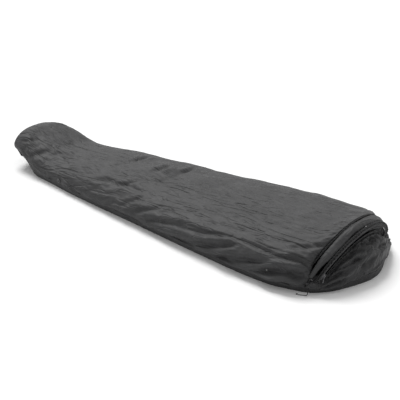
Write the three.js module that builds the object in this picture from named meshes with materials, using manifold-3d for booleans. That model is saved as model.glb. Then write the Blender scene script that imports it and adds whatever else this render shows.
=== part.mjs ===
// Bivy sack: a tapered, hooded shelter sack, lofted as if in use and hollow inside.
// Millimetres. +X runs from the foot to the head, +Z is up, and the floor rests on Z = 0.
import * as THREE from 'three';
import { mergeVertices } from 'three/addons/utils/BufferGeometryUtils.js';
import Module from 'manifold-3d';

const wasm = await Module();
wasm.setup();

// ---- Driving dimensions ----

const SHELL_WALL = 3; // modelled thickness of the upper fabric
const FLOOR_WALL = 2.4;
const GAP = 0.4; // clearance between pieces that are sewn or glued together
const SEAM_GAP = 2.2; // clearance along the floor's seam
const SEAM_HEIGHT = 28; // the floor turns up into a shallow tub this high
const BELLY = 0.3; // the flanks are widest at this share of the height
const UNDERCUT = 0.04; // how far the flanks draw in below that
const FOOT_UNDERCUT = 0.16; // and how much further at the foot

// The lofted body: [distance along the sack, half width, height].
const STATIONS = [
  [-1003, 182, 176],
  [-940, 194, 188],
  [-840, 206, 153],
  [-740, 217, 124],
  [-490, 254, 136],
  [-40, 296, 150],
  [340, 334, 171],
  [640, 356, 187],
  [800, 350, 193],
];
const FOOT_X = STATIONS[0][0];
const FOOT_LEAN = 0.22; // the foot end leans outward as it rises
const FOOT_REACH = 160; // over this length the toe box takes on its leaning, narrow-based end
const FOOT_DOME = 26;
const SHOULDER_X = STATIONS[STATIONS.length - 1][0];

// The floor's outline past the shoulder: [distance along the sack, half width].
const HEAD_PLAN = [
  [800, 336],
  [882, 313],
  [930, 286],
  [968, 240],
  [1000, 178],
  [1028, 108],
  [1046, 44],
];
const HEAD_END = HEAD_PLAN[HEAD_PLAN.length - 1][0];
const HEAD_DRAW = 0.03; // the head end's rim stands out over its foot by this share
const TIP_X = 1050;

// The mouth lies in a plane that leans toward the head. Its zip follows one circular arc.
const MOUTH_X = 922;
const MOUTH_LEAN = THREE.MathUtils.degToRad(19);
const ZIP_RADIUS = 320;
const ZIP_CENTRE = -122; // the arc's centre, along the leaning plane
const ZIP_SPAN = THREE.MathUtils.degToRad(53);
const COIL_RADIUS = 1.9;
const TAPE_WIDTH = 20;
const TAPE_THICKNESS = 1;
const HOOD_ZIP_RADIUS = 300; // the hood's half of the zip, parted from the shell's

const COLLAR_RADIUS = 338;
const COLLAR_OFFSET = -34; // behind the zip's plane
const COLLAR_HALF_WIDTH = 21;
const COLLAR_HALF_LOFT = 11;
const COLLAR_SPAN = THREE.MathUtils.degToRad(58);
const CHANNEL_OFFSET = -24;
const CHANNEL_RADIUS = 3;
const SHELL_EDGE_OFFSET = -64;
const SHELL_EDGE_RADIUS = 342;
const HOOD_SPAN = THREE.MathUtils.degToRad(50);
const HOOD_BULGE = 12; // how far the hood swells past the floor's rim

const SLIDER_REST = THREE.MathUtils.degToRad(-51);
const PULLER_HANG = THREE.MathUtils.degToRad(22);

const CORD_DIAMETER = 3;
const CORD_SIDES = 8;
// The free end of the drawcord: down through its lock to the floor, then back along the flank.
const CORD_ROUTE = [
  [915.6, -291.2, 55],
  [916, -294, 50],
  [917.5, -302.25, 35],
  [919, -310.5, 20],
  [920, -316, 10],
  [919, -318.6, 5],
  [914, -321.5, 2],
  [906, -324.5, 1.6],
  [896, -329, 1.6],
  [886, -334, 1.6],
];
const KNOT_RADIUS = 4.2;
const LOCK_REST = [916.7, -297.85, 43]; // where the cord runs through the lock

const SEAM_TAPE_WALL = 0.6;

const GROMMET_X = -610;
const GROMMET_RISE = 7; // above the widest line of the flank
const GROMMET_FLANGE = 12; // radius
const GROMMET_BARREL = 6.5;
const GROMMET_BORE = 4;

// ---- Finishes ----

const finish = (color, roughness, metalness = 0) =>
  new THREE.MeshStandardMaterial({ color, roughness, metalness });
const shellCloth = finish(0x474749, 0.72);
const floorCloth = finish(0x2f2f31, 0.62);
const bindingTape = finish(0x0e0e10, 0.8);
const zipTape = finish(0x0b0b0c, 0.85);
const nylonCoil = finish(0x101012, 0.45);
const blackPlastic = finish(0x0c0c0e, 0.4);
const darkMetal = finish(0x1b1c1f, 0.35, 0.9);
const steelWire = finish(0x9a9da2, 0.3, 1);
const cordBraid = finish(0x111113, 0.75);
const sealTape = finish(0x5d5f63, 0.5);
const labelCloth = finish(0xb9b9b6, 0.7);

// ---- Building blocks ----

// Joins rings of points into one closed surface. A loop joins its last ring to its first; other
// ends are closed with a fan, or with a strip where each ring is a folded sheet's outline.
function ringSolid(rings, ends) {
  const count = rings[0].length;
  const positions = rings.flat().flatMap((p) => [p.x, p.y, p.z]);
  const faces = [];
  const spans = ends === 'loop' ? rings.length : rings.length - 1;
  for (let i = 0; i < spans; i += 1) {
    const here = i * count;
    const there = ((i + 1) % rings.length) * count;
    for (let j = 0; j < count; j += 1) {
      const k = (j + 1) % count;
      faces.push(here + j, there + j, there + k, here + j, there + k, here + k);
    }
  }
  const last = (rings.length - 1) * count;
  if (ends === 'fan') {
    for (const [start, turn] of [[0, false], [last, true]]) {
      const centre = new THREE.Vector3();
      const ring = rings[start / count];
      ring.forEach((p) => centre.addScaledVector(p, 1 / count));
      const pole = positions.length / 3;
      positions.push(centre.x, centre.y, centre.z);
      for (let j = 0; j < count; j += 1) {
        const k = (j + 1) % count;
        faces.push(...(turn ? [start + k, start + j, pole] : [start + j, start + k, pole]));
      }
    }
  }
  if (ends === 'strip') {
    for (const [start, turn] of [[0, false], [last, true]]) {
      for (let j = 0; j < count / 2 - 1; j += 1) {
        const a = start + j;
        const b = a + 1;
        const d = start + count - 1 - j;
        const c = d - 1;
        faces.push(...(turn ? [a, c, b, a, d, c] : [a, b, c, a, c, d]));
      }
    }
  }
  return facingOut(positions, faces);
}

// Turns a closed surface right side out by the sign of its volume.
function facingOut(positions, faces) {
  const corner = (i) => new THREE.Vector3().fromArray(positions, 3 * faces[i]);
  let volume = 0;
  for (let i = 0; i < faces.length; i += 3) {
    volume += corner(i).dot(corner(i + 1).cross(corner(i + 2)));
  }
  if (volume < 0) faces.reverse();
  const geometry = new THREE.BufferGeometry();
  geometry.setAttribute('position', new THREE.Float32BufferAttribute(positions, 3));
  geometry.setIndex(faces);
  return geometry;
}

// A sheet of cloth: surface(u, v) gives its outer face, and the inner face lies one thickness in.
function thickSheet(surface, lengthSteps, widthSteps, thickness) {
  const point = (i, j) => surface(
    THREE.MathUtils.clamp(i / lengthSteps, 0, 1),
    THREE.MathUtils.clamp(j / widthSteps, 0, 1),
  );
  const inward = (i, j) => {
    const along = point(i + 1, j).sub(point(i - 1, j));
    const across = point(i, j + 1).sub(point(i, j - 1));
    return across.cross(along).normalize();
  };
  const rings = [];
  for (let i = 0; i <= lengthSteps; i += 1) {
    const outer = [];
    const inner = [];
    for (let j = 0; j <= widthSteps; j += 1) {
      outer.push(point(i, j));
      inner.unshift(point(i, j).addScaledVector(inward(i, j), thickness));
    }
    rings.push([...outer, ...inner]);
  }
  return ringSolid(rings, 'strip');
}

// Smooth curve through a table's rows, read at x: gives the row's other columns.
function readTable(table, x) {
  const last = table.length - 2;
  let i = 0;
  while (i < last && x > table[i + 1][0]) i += 1;
  const [a, b] = [table[i], table[i + 1]];
  const before = table[Math.max(i - 1, 0)];
  const after = table[Math.min(i + 2, table.length - 1)];
  const span = b[0] - a[0];
  const t = THREE.MathUtils.clamp((x - a[0]) / span, 0, 1);
  return a.slice(1).map((start, k) => {
    const stop = b[k + 1];
    const leave = ((stop - before[k + 1]) / (b[0] - before[0])) * span;
    const arrive = ((after[k + 1] - start) / (after[0] - a[0])) * span;
    return (2 * t ** 3 - 3 * t ** 2 + 1) * start + (t ** 3 - 2 * t ** 2 + t) * leave
      + (3 * t ** 2 - 2 * t ** 3) * stop + (t ** 3 - t ** 2) * arrive;
  });
}

function toManifold(geometry) {
  const bare = new THREE.BufferGeometry();
  bare.setAttribute('position', geometry.getAttribute('position').clone());
  if (geometry.index) bare.setIndex(geometry.index.clone());
  const merged = mergeVertices(bare, 1e-4);
  return new wasm.Manifold(new wasm.Mesh({
    numProp: 3,
    vertProperties: new Float32Array(merged.getAttribute('position').array),
    triVerts: new Uint32Array(merged.index.array),
  }));
}

function fromManifold(solid) {
  const mesh = solid.getMesh();
  const geometry = new THREE.BufferGeometry();
  geometry.setAttribute('position', new THREE.Float32BufferAttribute(mesh.vertProperties, 3));
  geometry.setIndex(Array.from(mesh.triVerts));
  return geometry;
}

const unite = (...shapes) => fromManifold(
  shapes.map(toManifold).reduce((whole, next) => whole.add(next)),
);
const cut = (shape, ...tools) => fromManifold(
  tools.map(toManifold).reduce((whole, tool) => whole.subtract(tool), toManifold(shape)),
);

// A box between two corners.
function block([x0, y0, z0], [x1, y1, z1]) {
  const box = new THREE.BoxGeometry(x1 - x0, y1 - y0, z1 - z0);
  return box.translate((x0 + x1) / 2, (y0 + y1) / 2, (z0 + z1) / 2);
}

// A cylinder that lies along Y, about the point given.
function barAlongY(radius, length, [x, y, z], sides = 24) {
  return new THREE.CylinderGeometry(radius, radius, length, sides).translate(x, y, z);
}

function barAlongZ(radius, length, [x, y, z], sides = 20) {
  const bar = new THREE.CylinderGeometry(radius, radius, length, sides);
  return bar.rotateX(Math.PI / 2).translate(x, y, z);
}

function named(name, geometry, material) {
  const mesh = new THREE.Mesh(geometry, material);
  mesh.geometry.computeVertexNormals();
  mesh.name = name;
  return mesh;
}

// ---- The body's shape ----

// Half of the body's outline: t = 0 at the seam, 1 at the crown.
const WALL_SHARE = 0.2;
function flankPoint(t, halfWidth, height, undercut, base = SEAM_HEIGHT) {
  const belly = BELLY * height;
  if (t < WALL_SHARE) {
    const z = THREE.MathUtils.lerp(base, belly, t / WALL_SHARE);
    return [halfWidth * (1 - undercut * (1 - z / belly) ** 2), z];
  }
  const turn = ((t - WALL_SHARE) / (1 - WALL_SHARE)) * (Math.PI / 2);
  const reach = Math.max(Math.cos(turn), 0) ** 0.8;
  return [halfWidth * reach, belly + (height - belly) * Math.sin(turn) ** 0.9];
}

// The whole outline: v = 0 at the near seam, 0.5 at the crown, 1 at the far seam.
function outlinePoint(v, halfWidth, height, undercut, base) {
  const [y, z] = flankPoint(1 - Math.abs(2 * v - 1), halfWidth, height, undercut, base);
  return [v < 0.5 ? -y : y, z];
}

const footShare = (x) => Math.max(0, 1 - (x - FOOT_X) / FOOT_REACH);
const footLean = (x) => FOOT_LEAN * footShare(x);
const undercutAt = (x) => UNDERCUT + FOOT_UNDERCUT * footShare(x);

function stationPoint(x, v) {
  const [halfWidth, height] = readTable(STATIONS, x);
  const [y, z] = outlinePoint(v, halfWidth, height, undercutAt(x));
  return new THREE.Vector3(x - footLean(x) * z, y, z);
}

// A point of the leaning mouth: offset from the zip's plane, radius and angle on its arc.
function mouthPoint(offset, radius, angle) {
  const rise = ZIP_CENTRE + radius * Math.cos(angle);
  return new THREE.Vector3(offset, radius * Math.sin(angle), rise)
    .applyAxisAngle(new THREE.Vector3(0, 1, 0), MOUTH_LEAN)
    .add(new THREE.Vector3(MOUTH_X, 0, 0));
}

// The angle at which an arc of the mouth comes down to the seam.
function seamAngle(offset, radius) {
  const rise = (SEAM_HEIGHT + offset * Math.sin(MOUTH_LEAN)) / Math.cos(MOUTH_LEAN);
  return Math.acos((rise - ZIP_CENTRE) / radius);
}

const SHELL_TAPER = 0.9; // past this share of its length the shell draws in to the mouth
function shellPoint(u, v) {
  if (u <= SHELL_TAPER) {
    return stationPoint(THREE.MathUtils.lerp(FOOT_X, SHOULDER_X, u / SHELL_TAPER), v);
  }
  const draw = (u - SHELL_TAPER) / (1 - SHELL_TAPER);
  const angle = (2 * v - 1) * seamAngle(SHELL_EDGE_OFFSET, SHELL_EDGE_RADIUS);
  const edge = mouthPoint(SHELL_EDGE_OFFSET, SHELL_EDGE_RADIUS, angle);
  const ahead = stationPoint(SHOULDER_X, v);
  ahead.x += draw * (edge.x - SHOULDER_X);
  return ahead.lerp(new THREE.Vector3(ahead.x, edge.y, edge.z), draw ** 2);
}

// Half width of the floor's turned-up side at height z.
function floorHalfWidth(x, z) {
  if (x > SHOULDER_X) {
    const [rim] = readTable(HEAD_PLAN, Math.min(x, HEAD_END));
    return rim * (1 - HEAD_DRAW * (1 - z / SEAM_HEIGHT));
  }
  const [halfWidth, height] = readTable(STATIONS, x);
  return halfWidth * (1 - undercutAt(x) * (1 - z / (BELLY * height)) ** 2);
}

// ---- Pieces of the sack ----

function grommetSeat(side) {
  const [halfWidth, height] = readTable(STATIONS, GROMMET_X);
  const slope = (readTable(STATIONS, GROMMET_X + 1)[0] - readTable(STATIONS, GROMMET_X - 1)[0]) / 2;
  const seat = new THREE.Group();
  seat.position.set(GROMMET_X, side * halfWidth, BELLY * height + GROMMET_RISE);
  seat.rotation.z = side > 0 ? Math.atan(slope) : Math.PI - Math.atan(slope);
  seat.updateMatrix();
  return seat;
}

function topShell() {
  const shell = thickSheet(shellPoint, 30, 20, SHELL_WALL);
  const holes = [-1, 1].map((side) => (
    barAlongY(GROMMET_BARREL + GAP, 20, [0, 0, 0]).applyMatrix4(grommetSeat(side).matrix)
  ));
  return cut(shell, ...holes);
}

// The flat base that lies on the ground, drawn in from the band round it.
const BASE_INSET = 2 * (FLOOR_WALL + GAP);
const BASE_TIP_INSET = 6;
function floorPanel() {
  const surface = (u, v) => {
    const x = THREE.MathUtils.lerp(FOOT_X, TIP_X - BASE_TIP_INSET, u);
    const beyond = x > SHOULDER_X ? x + BASE_TIP_INSET : x;
    const halfWidth = floorHalfWidth(beyond, 0) - BASE_INSET;
    return new THREE.Vector3(x, (2 * v - 1) * halfWidth, 0);
  };
  return thickSheet(surface, 36, 4, -FLOOR_WALL);
}

// The band round the base that turns up to the seam: one length along the flank, one round the head.
function floorSide(side, from, to, steps) {
  const surface = (u, v) => {
    const x = THREE.MathUtils.lerp(from, to, u);
    const z = v * (SEAM_HEIGHT - SEAM_GAP);
    return new THREE.Vector3(x - footLean(x) * z, side * floorHalfWidth(x, z), z);
  };
  return thickSheet(surface, steps, 3, -side * FLOOR_WALL);
}

function addFloor(sack) {
  sack.add(named('floor_panel', floorPanel(), floorCloth));
  for (const [place, side] of [['near', -1], ['far', 1]]) {
    const flank = floorSide(side, FOOT_X, SHOULDER_X, 30);
    sack.add(named(`floor_side_${place}`, flank, floorCloth));
    const head = floorSide(side, SHOULDER_X + GAP, TIP_X, 14);
    sack.add(named(`floor_head_${place}`, head, floorCloth));
  }
}

// The oval end of the toe box, domed outward, set inside the ends of the shell and floor.
function footPanel() {
  const [halfWidth, height] = readTable(STATIONS, FOOT_X);
  const inset = SHELL_WALL + 8 * GAP;
  const sides = 28;
  const middle = height * 0.45;
  const outline = [];
  for (let j = 0; j <= sides; j += 1) {
    const v = j / sides;
    outline.push(outlinePoint(v, halfWidth - inset, height - inset, undercutAt(FOOT_X), FLOOR_WALL + GAP));
  }
  const ring = (share, back) => outline.map(([y, z]) => {
    const rise = middle + (z - middle) * share;
    const out = FOOT_DOME * (1 - share ** 2);
    return new THREE.Vector3(FOOT_X - FOOT_LEAN * rise - out + back, y * share, rise);
  });
  const shares = [0.25, 0.5, 0.75, 0.92, 1];
  const outer = shares.map((share) => ring(share, 0));
  const inner = shares.map((share) => ring(share, SHELL_WALL)).reverse();
  return ringSolid([...outer, ...inner], 'fan');
}

// The hood closes the head end: from its half of the zip, out and down to the floor's rim.
function hoodShell() {
  const rimCurve = new THREE.CatmullRomCurve3([
    ...HEAD_PLAN.slice(3).map(([x, y]) => new THREE.Vector3(x, -y, 0)),
    ...HEAD_PLAN.slice(3).reverse().map(([x, y]) => new THREE.Vector3(x, y, 0)),
  ]);
  const edgeRadius = HOOD_ZIP_RADIUS - COIL_RADIUS - TAPE_WIDTH * 0.7 - 4 * GAP;
  const surface = (u, v) => {
    const top = mouthPoint(0, edgeRadius, (2 * u - 1) * HOOD_SPAN);
    const rim = rimCurve.getPoint(u);
    rim.z = SEAM_HEIGHT + GAP;
    const outward = new THREE.Vector3(rim.x - SHOULDER_X, rim.y, 0).setLength(HOOD_BULGE);
    const crest = rim.clone().add(outward).setZ(top.z);
    const curve = new THREE.QuadraticBezierCurve3(top, crest, rim);
    return curve.getPoint(v);
  };
  return thickSheet(surface, 24, 7, -FLOOR_WALL);
}

// ---- Pieces that follow the mouth's arc, in the leaning plane's own frame ----

function arcRings(section, radius, from, to, steps) {
  const rings = [];
  for (let i = 0; i <= steps; i += 1) {
    const angle = THREE.MathUtils.lerp(from, to, i / steps);
    rings.push(section.map(([offset, out]) => new THREE.Vector3(
      offset,
      (radius + out) * Math.sin(angle),
      ZIP_CENTRE + (radius + out) * Math.cos(angle),
    )));
  }
  return rings;
}

const arcSweep = (section, radius, from, to, steps) => (
  ringSolid(arcRings(section, radius, from, to, steps), 'fan')
);

const ovalSection = (halfWidth, halfHeight, centre, sides) => Array.from({ length: sides }, (_, i) => {
  const turn = (i / sides) * 2 * Math.PI;
  return [centre + halfWidth * Math.cos(turn), halfHeight * Math.sin(turn)];
});

const boxSection = (x0, x1, r0, r1) => [[x0, r0], [x1, r0], [x1, r1], [x0, r1]];

// The padded storm collar: a stuffed hem with the drawcord's channel through it.
function stormCollar() {
  const skin = ovalSection(COLLAR_HALF_WIDTH, COLLAR_HALF_LOFT, COLLAR_OFFSET, 12);
  const channel = ovalSection(CHANNEL_RADIUS, CHANNEL_RADIUS, CHANNEL_OFFSET, 12);
  const outside = arcRings(skin, COLLAR_RADIUS, -COLLAR_SPAN, COLLAR_SPAN, 26);
  const inside = arcRings(channel, COLLAR_RADIUS, COLLAR_SPAN, -COLLAR_SPAN, 26);
  return ringSolid([...outside, ...inside], 'loop');
}

function addCollar(mouth) {
  mouth.add(named('storm_collar', stormCollar(), shellCloth));
  const rearStart = SHELL_EDGE_OFFSET + SHELL_WALL + GAP;
  const rear = boxSection(rearStart, COLLAR_OFFSET - COLLAR_HALF_WIDTH - GAP, 0, 5);
  const rearRadius = SHELL_EDGE_RADIUS - 2;
  const rearBinding = arcSweep(rear, rearRadius, -COLLAR_SPAN, COLLAR_SPAN, 30);
  mouth.add(named('collar_binding_rear', rearBinding, bindingTape));
  const front = boxSection(COLLAR_OFFSET + COLLAR_HALF_WIDTH + GAP, -TAPE_THICKNESS, -4, 4);
  const frontBinding = arcSweep(front, COLLAR_RADIUS, -COLLAR_SPAN, COLLAR_SPAN, 30);
  mouth.add(named('collar_binding_front', frontBinding, bindingTape));
}

function addZip(mouth) {
  const half = TAPE_THICKNESS / 2;
  const tail = THREE.MathUtils.degToRad(3);
  const coil = ovalSection(COIL_RADIUS, COIL_RADIUS, 0, 8);
  const edge = COIL_RADIUS + GAP;
  const upperTape = boxSection(-half, half, edge, edge + TAPE_WIDTH);
  const upper = arcSweep(upperTape, ZIP_RADIUS, -ZIP_SPAN - tail, ZIP_SPAN + tail, 30);
  mouth.add(named('zip_tape_upper', upper, zipTape));
  const upperCoil = arcSweep(coil, ZIP_RADIUS, -ZIP_SPAN, ZIP_SPAN, 28);
  mouth.add(named('zip_coil_upper', upperCoil, nylonCoil));
  const lowerTape = boxSection(-half, half, -edge - TAPE_WIDTH * 0.7, -edge);
  const lower = arcSweep(lowerTape, HOOD_ZIP_RADIUS, -HOOD_SPAN - tail, HOOD_SPAN + tail, 30);
  mouth.add(named('zip_tape_lower', lower, zipTape));
  const lowerCoil = arcSweep(coil, HOOD_ZIP_RADIUS, -HOOD_SPAN, HOOD_SPAN, 28);
  mouth.add(named('zip_coil_lower', lowerCoil, nylonCoil));
  const stop = boxSection(-2.6, 2.6, -2.6, COIL_RADIUS);
  const stopSpan = THREE.MathUtils.degToRad(1);
  const clear = THREE.MathUtils.degToRad(0.2);
  const stops = [['zip_stop_near', -1], ['zip_stop_far', 1]];
  for (const [name, side] of stops) {
    const start = side * (ZIP_SPAN + clear);
    const shape = arcSweep(stop, ZIP_RADIUS, start, start + side * stopSpan, 2);
    mouth.add(named(name, shape, darkMetal));
  }
}

// ---- Slider and puller, on a carriage turned to their place on the arc ----

const PLATE = { inner: 2.6, outer: 4.2, halfLength: 9, halfWidth: 8 };
const CROWN = { top: 9, underside: 7.4, halfLength: 6.5, post: 2, halfWidth: 1.5 };
const PULLER_PIVOT = 5.6; // the puller's bar lies this far in front of the zip's plane

function slider() {
  const { inner, outer, halfLength, halfWidth } = PLATE;
  const lip = 1.4;
  const plates = [-1, 1].map((side) => {
    const [low, high] = side > 0 ? [inner, outer] : [-outer, -inner];
    return block([low, -halfLength, -halfWidth], [high, halfLength, halfWidth]);
  });
  const lips = [-1, 1].flatMap((side) => [-1, 1].map((edge) => {
    const [low, high] = side > 0 ? [0.9, outer] : [-outer, -0.9];
    const [z0, z1] = edge > 0 ? [halfWidth - lip, halfWidth] : [-halfWidth, lip - halfWidth];
    return block([low, -halfLength, z0], [high, halfLength, z1]);
  }));
  const diamond = block([-outer, 3, -5.6], [outer, halfLength, -COIL_RADIUS - 0.7]);
  const posts = [-1, 1].map((side) => {
    const y = side * (CROWN.halfLength - CROWN.post / 2);
    const half = CROWN.post / 2;
    return block([inner, y - half, -CROWN.halfWidth], [CROWN.top, y + half, CROWN.halfWidth]);
  });
  const beam = block(
    [CROWN.underside, -CROWN.halfLength, -CROWN.halfWidth],
    [CROWN.top, CROWN.halfLength, CROWN.halfWidth],
  );
  return unite(...plates, ...lips, diamond, ...posts, beam).translate(0, 0, ZIP_RADIUS);
}

function puller() {
  const armReach = 10;
  const tongue = 29;
  const bar = barAlongZ(0.9, 8, [0, 0, 0]);
  const arms = [-1, 1].map((side) => {
    const [z0, z1] = side > 0 ? [2.2, 4] : [-4, -2.2];
    return block([-0.8, -armReach, z0], [0.8, 0.6, z1]);
  });
  const plate = block([-0.7, -tongue + 4, -4], [0.7, -armReach + 1, 4]);
  const end = new THREE.CylinderGeometry(4, 4, 1.4, 24).rotateZ(Math.PI / 2).translate(0, 4 - tongue, 0);
  const hole = new THREE.CylinderGeometry(1.6, 1.6, 4, 16).rotateZ(Math.PI / 2).translate(0, 4 - tongue, 0);
  return cut(unite(bar, ...arms, plate, end), hole);
}

function addSlider(mouth) {
  const carriage = new THREE.Group();
  carriage.position.z = ZIP_CENTRE;
  carriage.rotation.x = -SLIDER_REST;
  carriage.add(named('zip_slider', slider(), darkMetal));
  const pull = named('zip_puller', puller(), darkMetal);
  pull.position.set(PULLER_PIVOT, 0, ZIP_RADIUS);
  pull.rotation.z = PULLER_HANG;
  carriage.add(pull);
  mouth.add(carriage);
}

// ---- Drawcord, its eyelet, lock and knot ----

function tube(points, diameter, steps) {
  const curve = new THREE.CatmullRomCurve3(points.map((p) => new THREE.Vector3(...p)), false, 'centripetal');
  const round = new THREE.Shape();
  for (let i = 0; i < CORD_SIDES; i += 1) {
    const turn = (i / CORD_SIDES) * 2 * Math.PI;
    const [x, y] = [(diameter / 2) * Math.cos(turn), (diameter / 2) * Math.sin(turn)];
    if (i === 0) round.moveTo(x, y);
    else round.lineTo(x, y);
  }
  return new THREE.ExtrudeGeometry(round, { steps, extrudePath: curve, bevelEnabled: false });
}

// The stretch of the drawcord that runs inside the collar.
function drawcordRun() {
  const section = ovalSection(CORD_DIAMETER / 2, CORD_DIAMETER / 2, CHANNEL_OFFSET, CORD_SIDES);
  const from = -COLLAR_SPAN - THREE.MathUtils.degToRad(0.5);
  return arcSweep(section, COLLAR_RADIUS, from, COLLAR_SPAN * 0.97, 30);
}

// A ring round the cord where it leaves the collar's end.
function cordEyelet() {
  const outer = 5.5;
  const inner = 2.2;
  const from = -COLLAR_SPAN - THREE.MathUtils.degToRad(0.1);
  const to = from - THREE.MathUtils.degToRad(0.3);
  const outside = arcRings(ovalSection(outer, outer, CHANNEL_OFFSET, 20), COLLAR_RADIUS, from, to, 1);
  const inside = arcRings(ovalSection(inner, inner, CHANNEL_OFFSET, 20), COLLAR_RADIUS, to, from, 1);
  return ringSolid([...outside, ...inside], 'loop');
}

function cordKnot() {
  const end = new THREE.Vector3(...CORD_ROUTE[CORD_ROUTE.length - 1]);
  const before = new THREE.Vector3(...CORD_ROUTE[CORD_ROUTE.length - 2]);
  const along = end.clone().sub(before).setLength(KNOT_RADIUS + GAP);
  const centre = end.add(along);
  return new THREE.IcosahedronGeometry(KNOT_RADIUS, 2).translate(centre.x, centre.y, KNOT_RADIUS);
}

// The lock is a sprung barrel: the plunger grips the cord against the barrel's cross hole.
// Its own frame has the plunger along X and the cord along Z, crossing at the origin.
const LOCK = { radius: 6.5, closed: -14, open: 8, bore: 4.6, floor: -12.2, crossHole: 2.3 };
const PLUNGER = { radius: 4.2, inner: -4.5, outer: 13.5, slotHalf: 1.9, slotFrom: -1.8, slotTo: 7 };

function barAlongX(radius, from, to, sides = 28) {
  const bar = new THREE.CylinderGeometry(radius, radius, to - from, sides);
  return bar.rotateZ(Math.PI / 2).translate((from + to) / 2, 0, 0);
}

function lockBody() {
  const barrel = barAlongX(LOCK.radius, LOCK.closed, LOCK.open);
  const bore = barAlongX(LOCK.bore, LOCK.floor, LOCK.open + 1);
  return cut(barrel, bore, barAlongZ(LOCK.crossHole, 20, [0, 0, 0]));
}

function lockPlunger() {
  const { radius, inner, outer, slotHalf, slotFrom, slotTo } = PLUNGER;
  const slot = block([slotFrom, -slotHalf, -10], [slotTo, slotHalf, 10]);
  return cut(barAlongX(radius, inner, outer), slot);
}

function lockSpring() {
  const turns = 3;
  const coilRadius = 3;
  const wire = 0.7;
  const from = LOCK.floor + wire / 2 + GAP / 2;
  const to = PLUNGER.inner - wire / 2 - GAP / 2;
  const points = [];
  for (let i = 0; i <= turns * 10; i += 1) {
    const angle = (i / 10) * 2 * Math.PI;
    const x = THREE.MathUtils.lerp(from, to, i / (turns * 10));
    points.push([x, coilRadius * Math.cos(angle), coilRadius * Math.sin(angle)]);
  }
  return tube(points, wire, turns * 9);
}

function cordLock() {
  const [start, stop] = [CORD_ROUTE[4], CORD_ROUTE[1]].map((p) => new THREE.Vector3(...p));
  const up = stop.sub(start).normalize();
  const plungerAxis = new THREE.Vector3(1, 0, 0);
  plungerAxis.addScaledVector(up, -plungerAxis.dot(up)).normalize();
  const side = new THREE.Vector3().crossVectors(up, plungerAxis);
  const lock = new THREE.Group();
  lock.position.set(...LOCK_REST);
  lock.setRotationFromMatrix(new THREE.Matrix4().makeBasis(plungerAxis, side, up));
  lock.add(named('cord_lock_body', lockBody(), blackPlastic));
  lock.add(named('cord_lock_plunger', lockPlunger(), blackPlastic));
  lock.add(named('cord_lock_spring', lockSpring(), steelWire));
  return lock;
}

// ---- Grommets, seam tapes and label ----

const latheAboutY = (profile) => new THREE.LatheGeometry(
  [...profile, profile[0]].map(([r, y]) => new THREE.Vector2(r, y)),
  32,
);

function addGrommet(sack, name, side) {
  const seat = grommetSeat(side);
  const barrel = GROMMET_BARREL - GAP;
  const face = 2.8;
  const flangeBack = 1;
  const washerFront = -SHELL_WALL - 3.6;
  const washerBack = washerFront - 1.2;
  const eye = latheAboutY([
    [GROMMET_BORE, washerBack - GAP],
    [barrel, washerBack - GAP],
    [barrel, flangeBack],
    [GROMMET_FLANGE, flangeBack],
    [GROMMET_FLANGE, face],
    [GROMMET_BORE, face],
  ]);
  const washer = latheAboutY([
    [barrel + GAP, washerBack],
    [GROMMET_FLANGE - 2.5, washerBack],
    [GROMMET_FLANGE - 2.5, washerFront],
    [barrel + GAP, washerFront],
  ]);
  seat.add(named(`grommet_${name}`, eye, blackPlastic));
  seat.add(named(`grommet_washer_${name}`, washer, darkMetal));
  sack.add(seat);
}

// A strip glued inside the flank, over the seam between the shell and the floor.
function longSeamTape(side) {
  const inset = SHELL_WALL + 6 * GAP;
  const surface = (u, v) => {
    const x = THREE.MathUtils.lerp(FOOT_X + 60, SHOULDER_X - 70, u);
    const z = THREE.MathUtils.lerp(SEAM_HEIGHT - 12, SEAM_HEIGHT + 6, v);
    return new THREE.Vector3(x, side * (floorHalfWidth(x, z) - inset), z);
  };
  return thickSheet(surface, 24, 1, side * SEAM_TAPE_WALL);
}

// The strip glued round the inside of the foot panel's seam.
function footSeamTape() {
  const [halfWidth, height] = readTable(STATIONS, FOOT_X);
  const sides = 28;
  const rings = [];
  for (let j = 0; j <= sides; j += 1) {
    const ring = [[9, 6], [9, 6 + SEAM_TAPE_WALL], [25, 6 + SEAM_TAPE_WALL], [25, 6]];
    rings.push(ring.map(([along, inset]) => {
      const base = FLOOR_WALL + inset - 4;
      const [y, z] = outlinePoint(j / sides, halfWidth - inset, height - inset, undercutAt(FOOT_X), base);
      return new THREE.Vector3(FOOT_X - FOOT_LEAN * z + along, y, z);
    }));
  }
  return ringSolid(rings, 'loop');
}

function careLabel() {
  return block([700, -343.5, 44], [740, -343, 68]);
}

// ---- Assembly ----

function mouthAssembly() {
  const mouth = new THREE.Group();
  mouth.position.x = MOUTH_X;
  mouth.rotation.y = MOUTH_LEAN;
  addCollar(mouth);
  addZip(mouth);
  addSlider(mouth);
  mouth.add(named('drawcord_run', drawcordRun(), cordBraid));
  mouth.add(named('drawcord_eyelet', cordEyelet(), darkMetal));
  return mouth;
}

function bivySack() {
  const sack = new THREE.Group();
  sack.add(named('top_shell', topShell(), shellCloth));
  addFloor(sack);
  sack.add(named('foot_panel', footPanel(), shellCloth));
  sack.add(named('hood_shell', hoodShell(), shellCloth));
  sack.add(mouthAssembly());
  sack.add(named('drawcord_tail', tube(CORD_ROUTE, CORD_DIAMETER, 40), cordBraid));
  sack.add(named('cord_knot', cordKnot(), cordBraid));
  sack.add(cordLock());
  addGrommet(sack, 'near', -1);
  addGrommet(sack, 'far', 1);
  sack.add(named('seam_tape_near', longSeamTape(-1), sealTape));
  sack.add(named('seam_tape_far', longSeamTape(1), sealTape));
  sack.add(named('seam_tape_foot', footSeamTape(), sealTape));
  sack.add(named('care_label', careLabel(), labelCloth));
  return sack;
}

export default bivySack();
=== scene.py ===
import math

import bpy
import numpy as np
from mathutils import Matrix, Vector, noise


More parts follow.
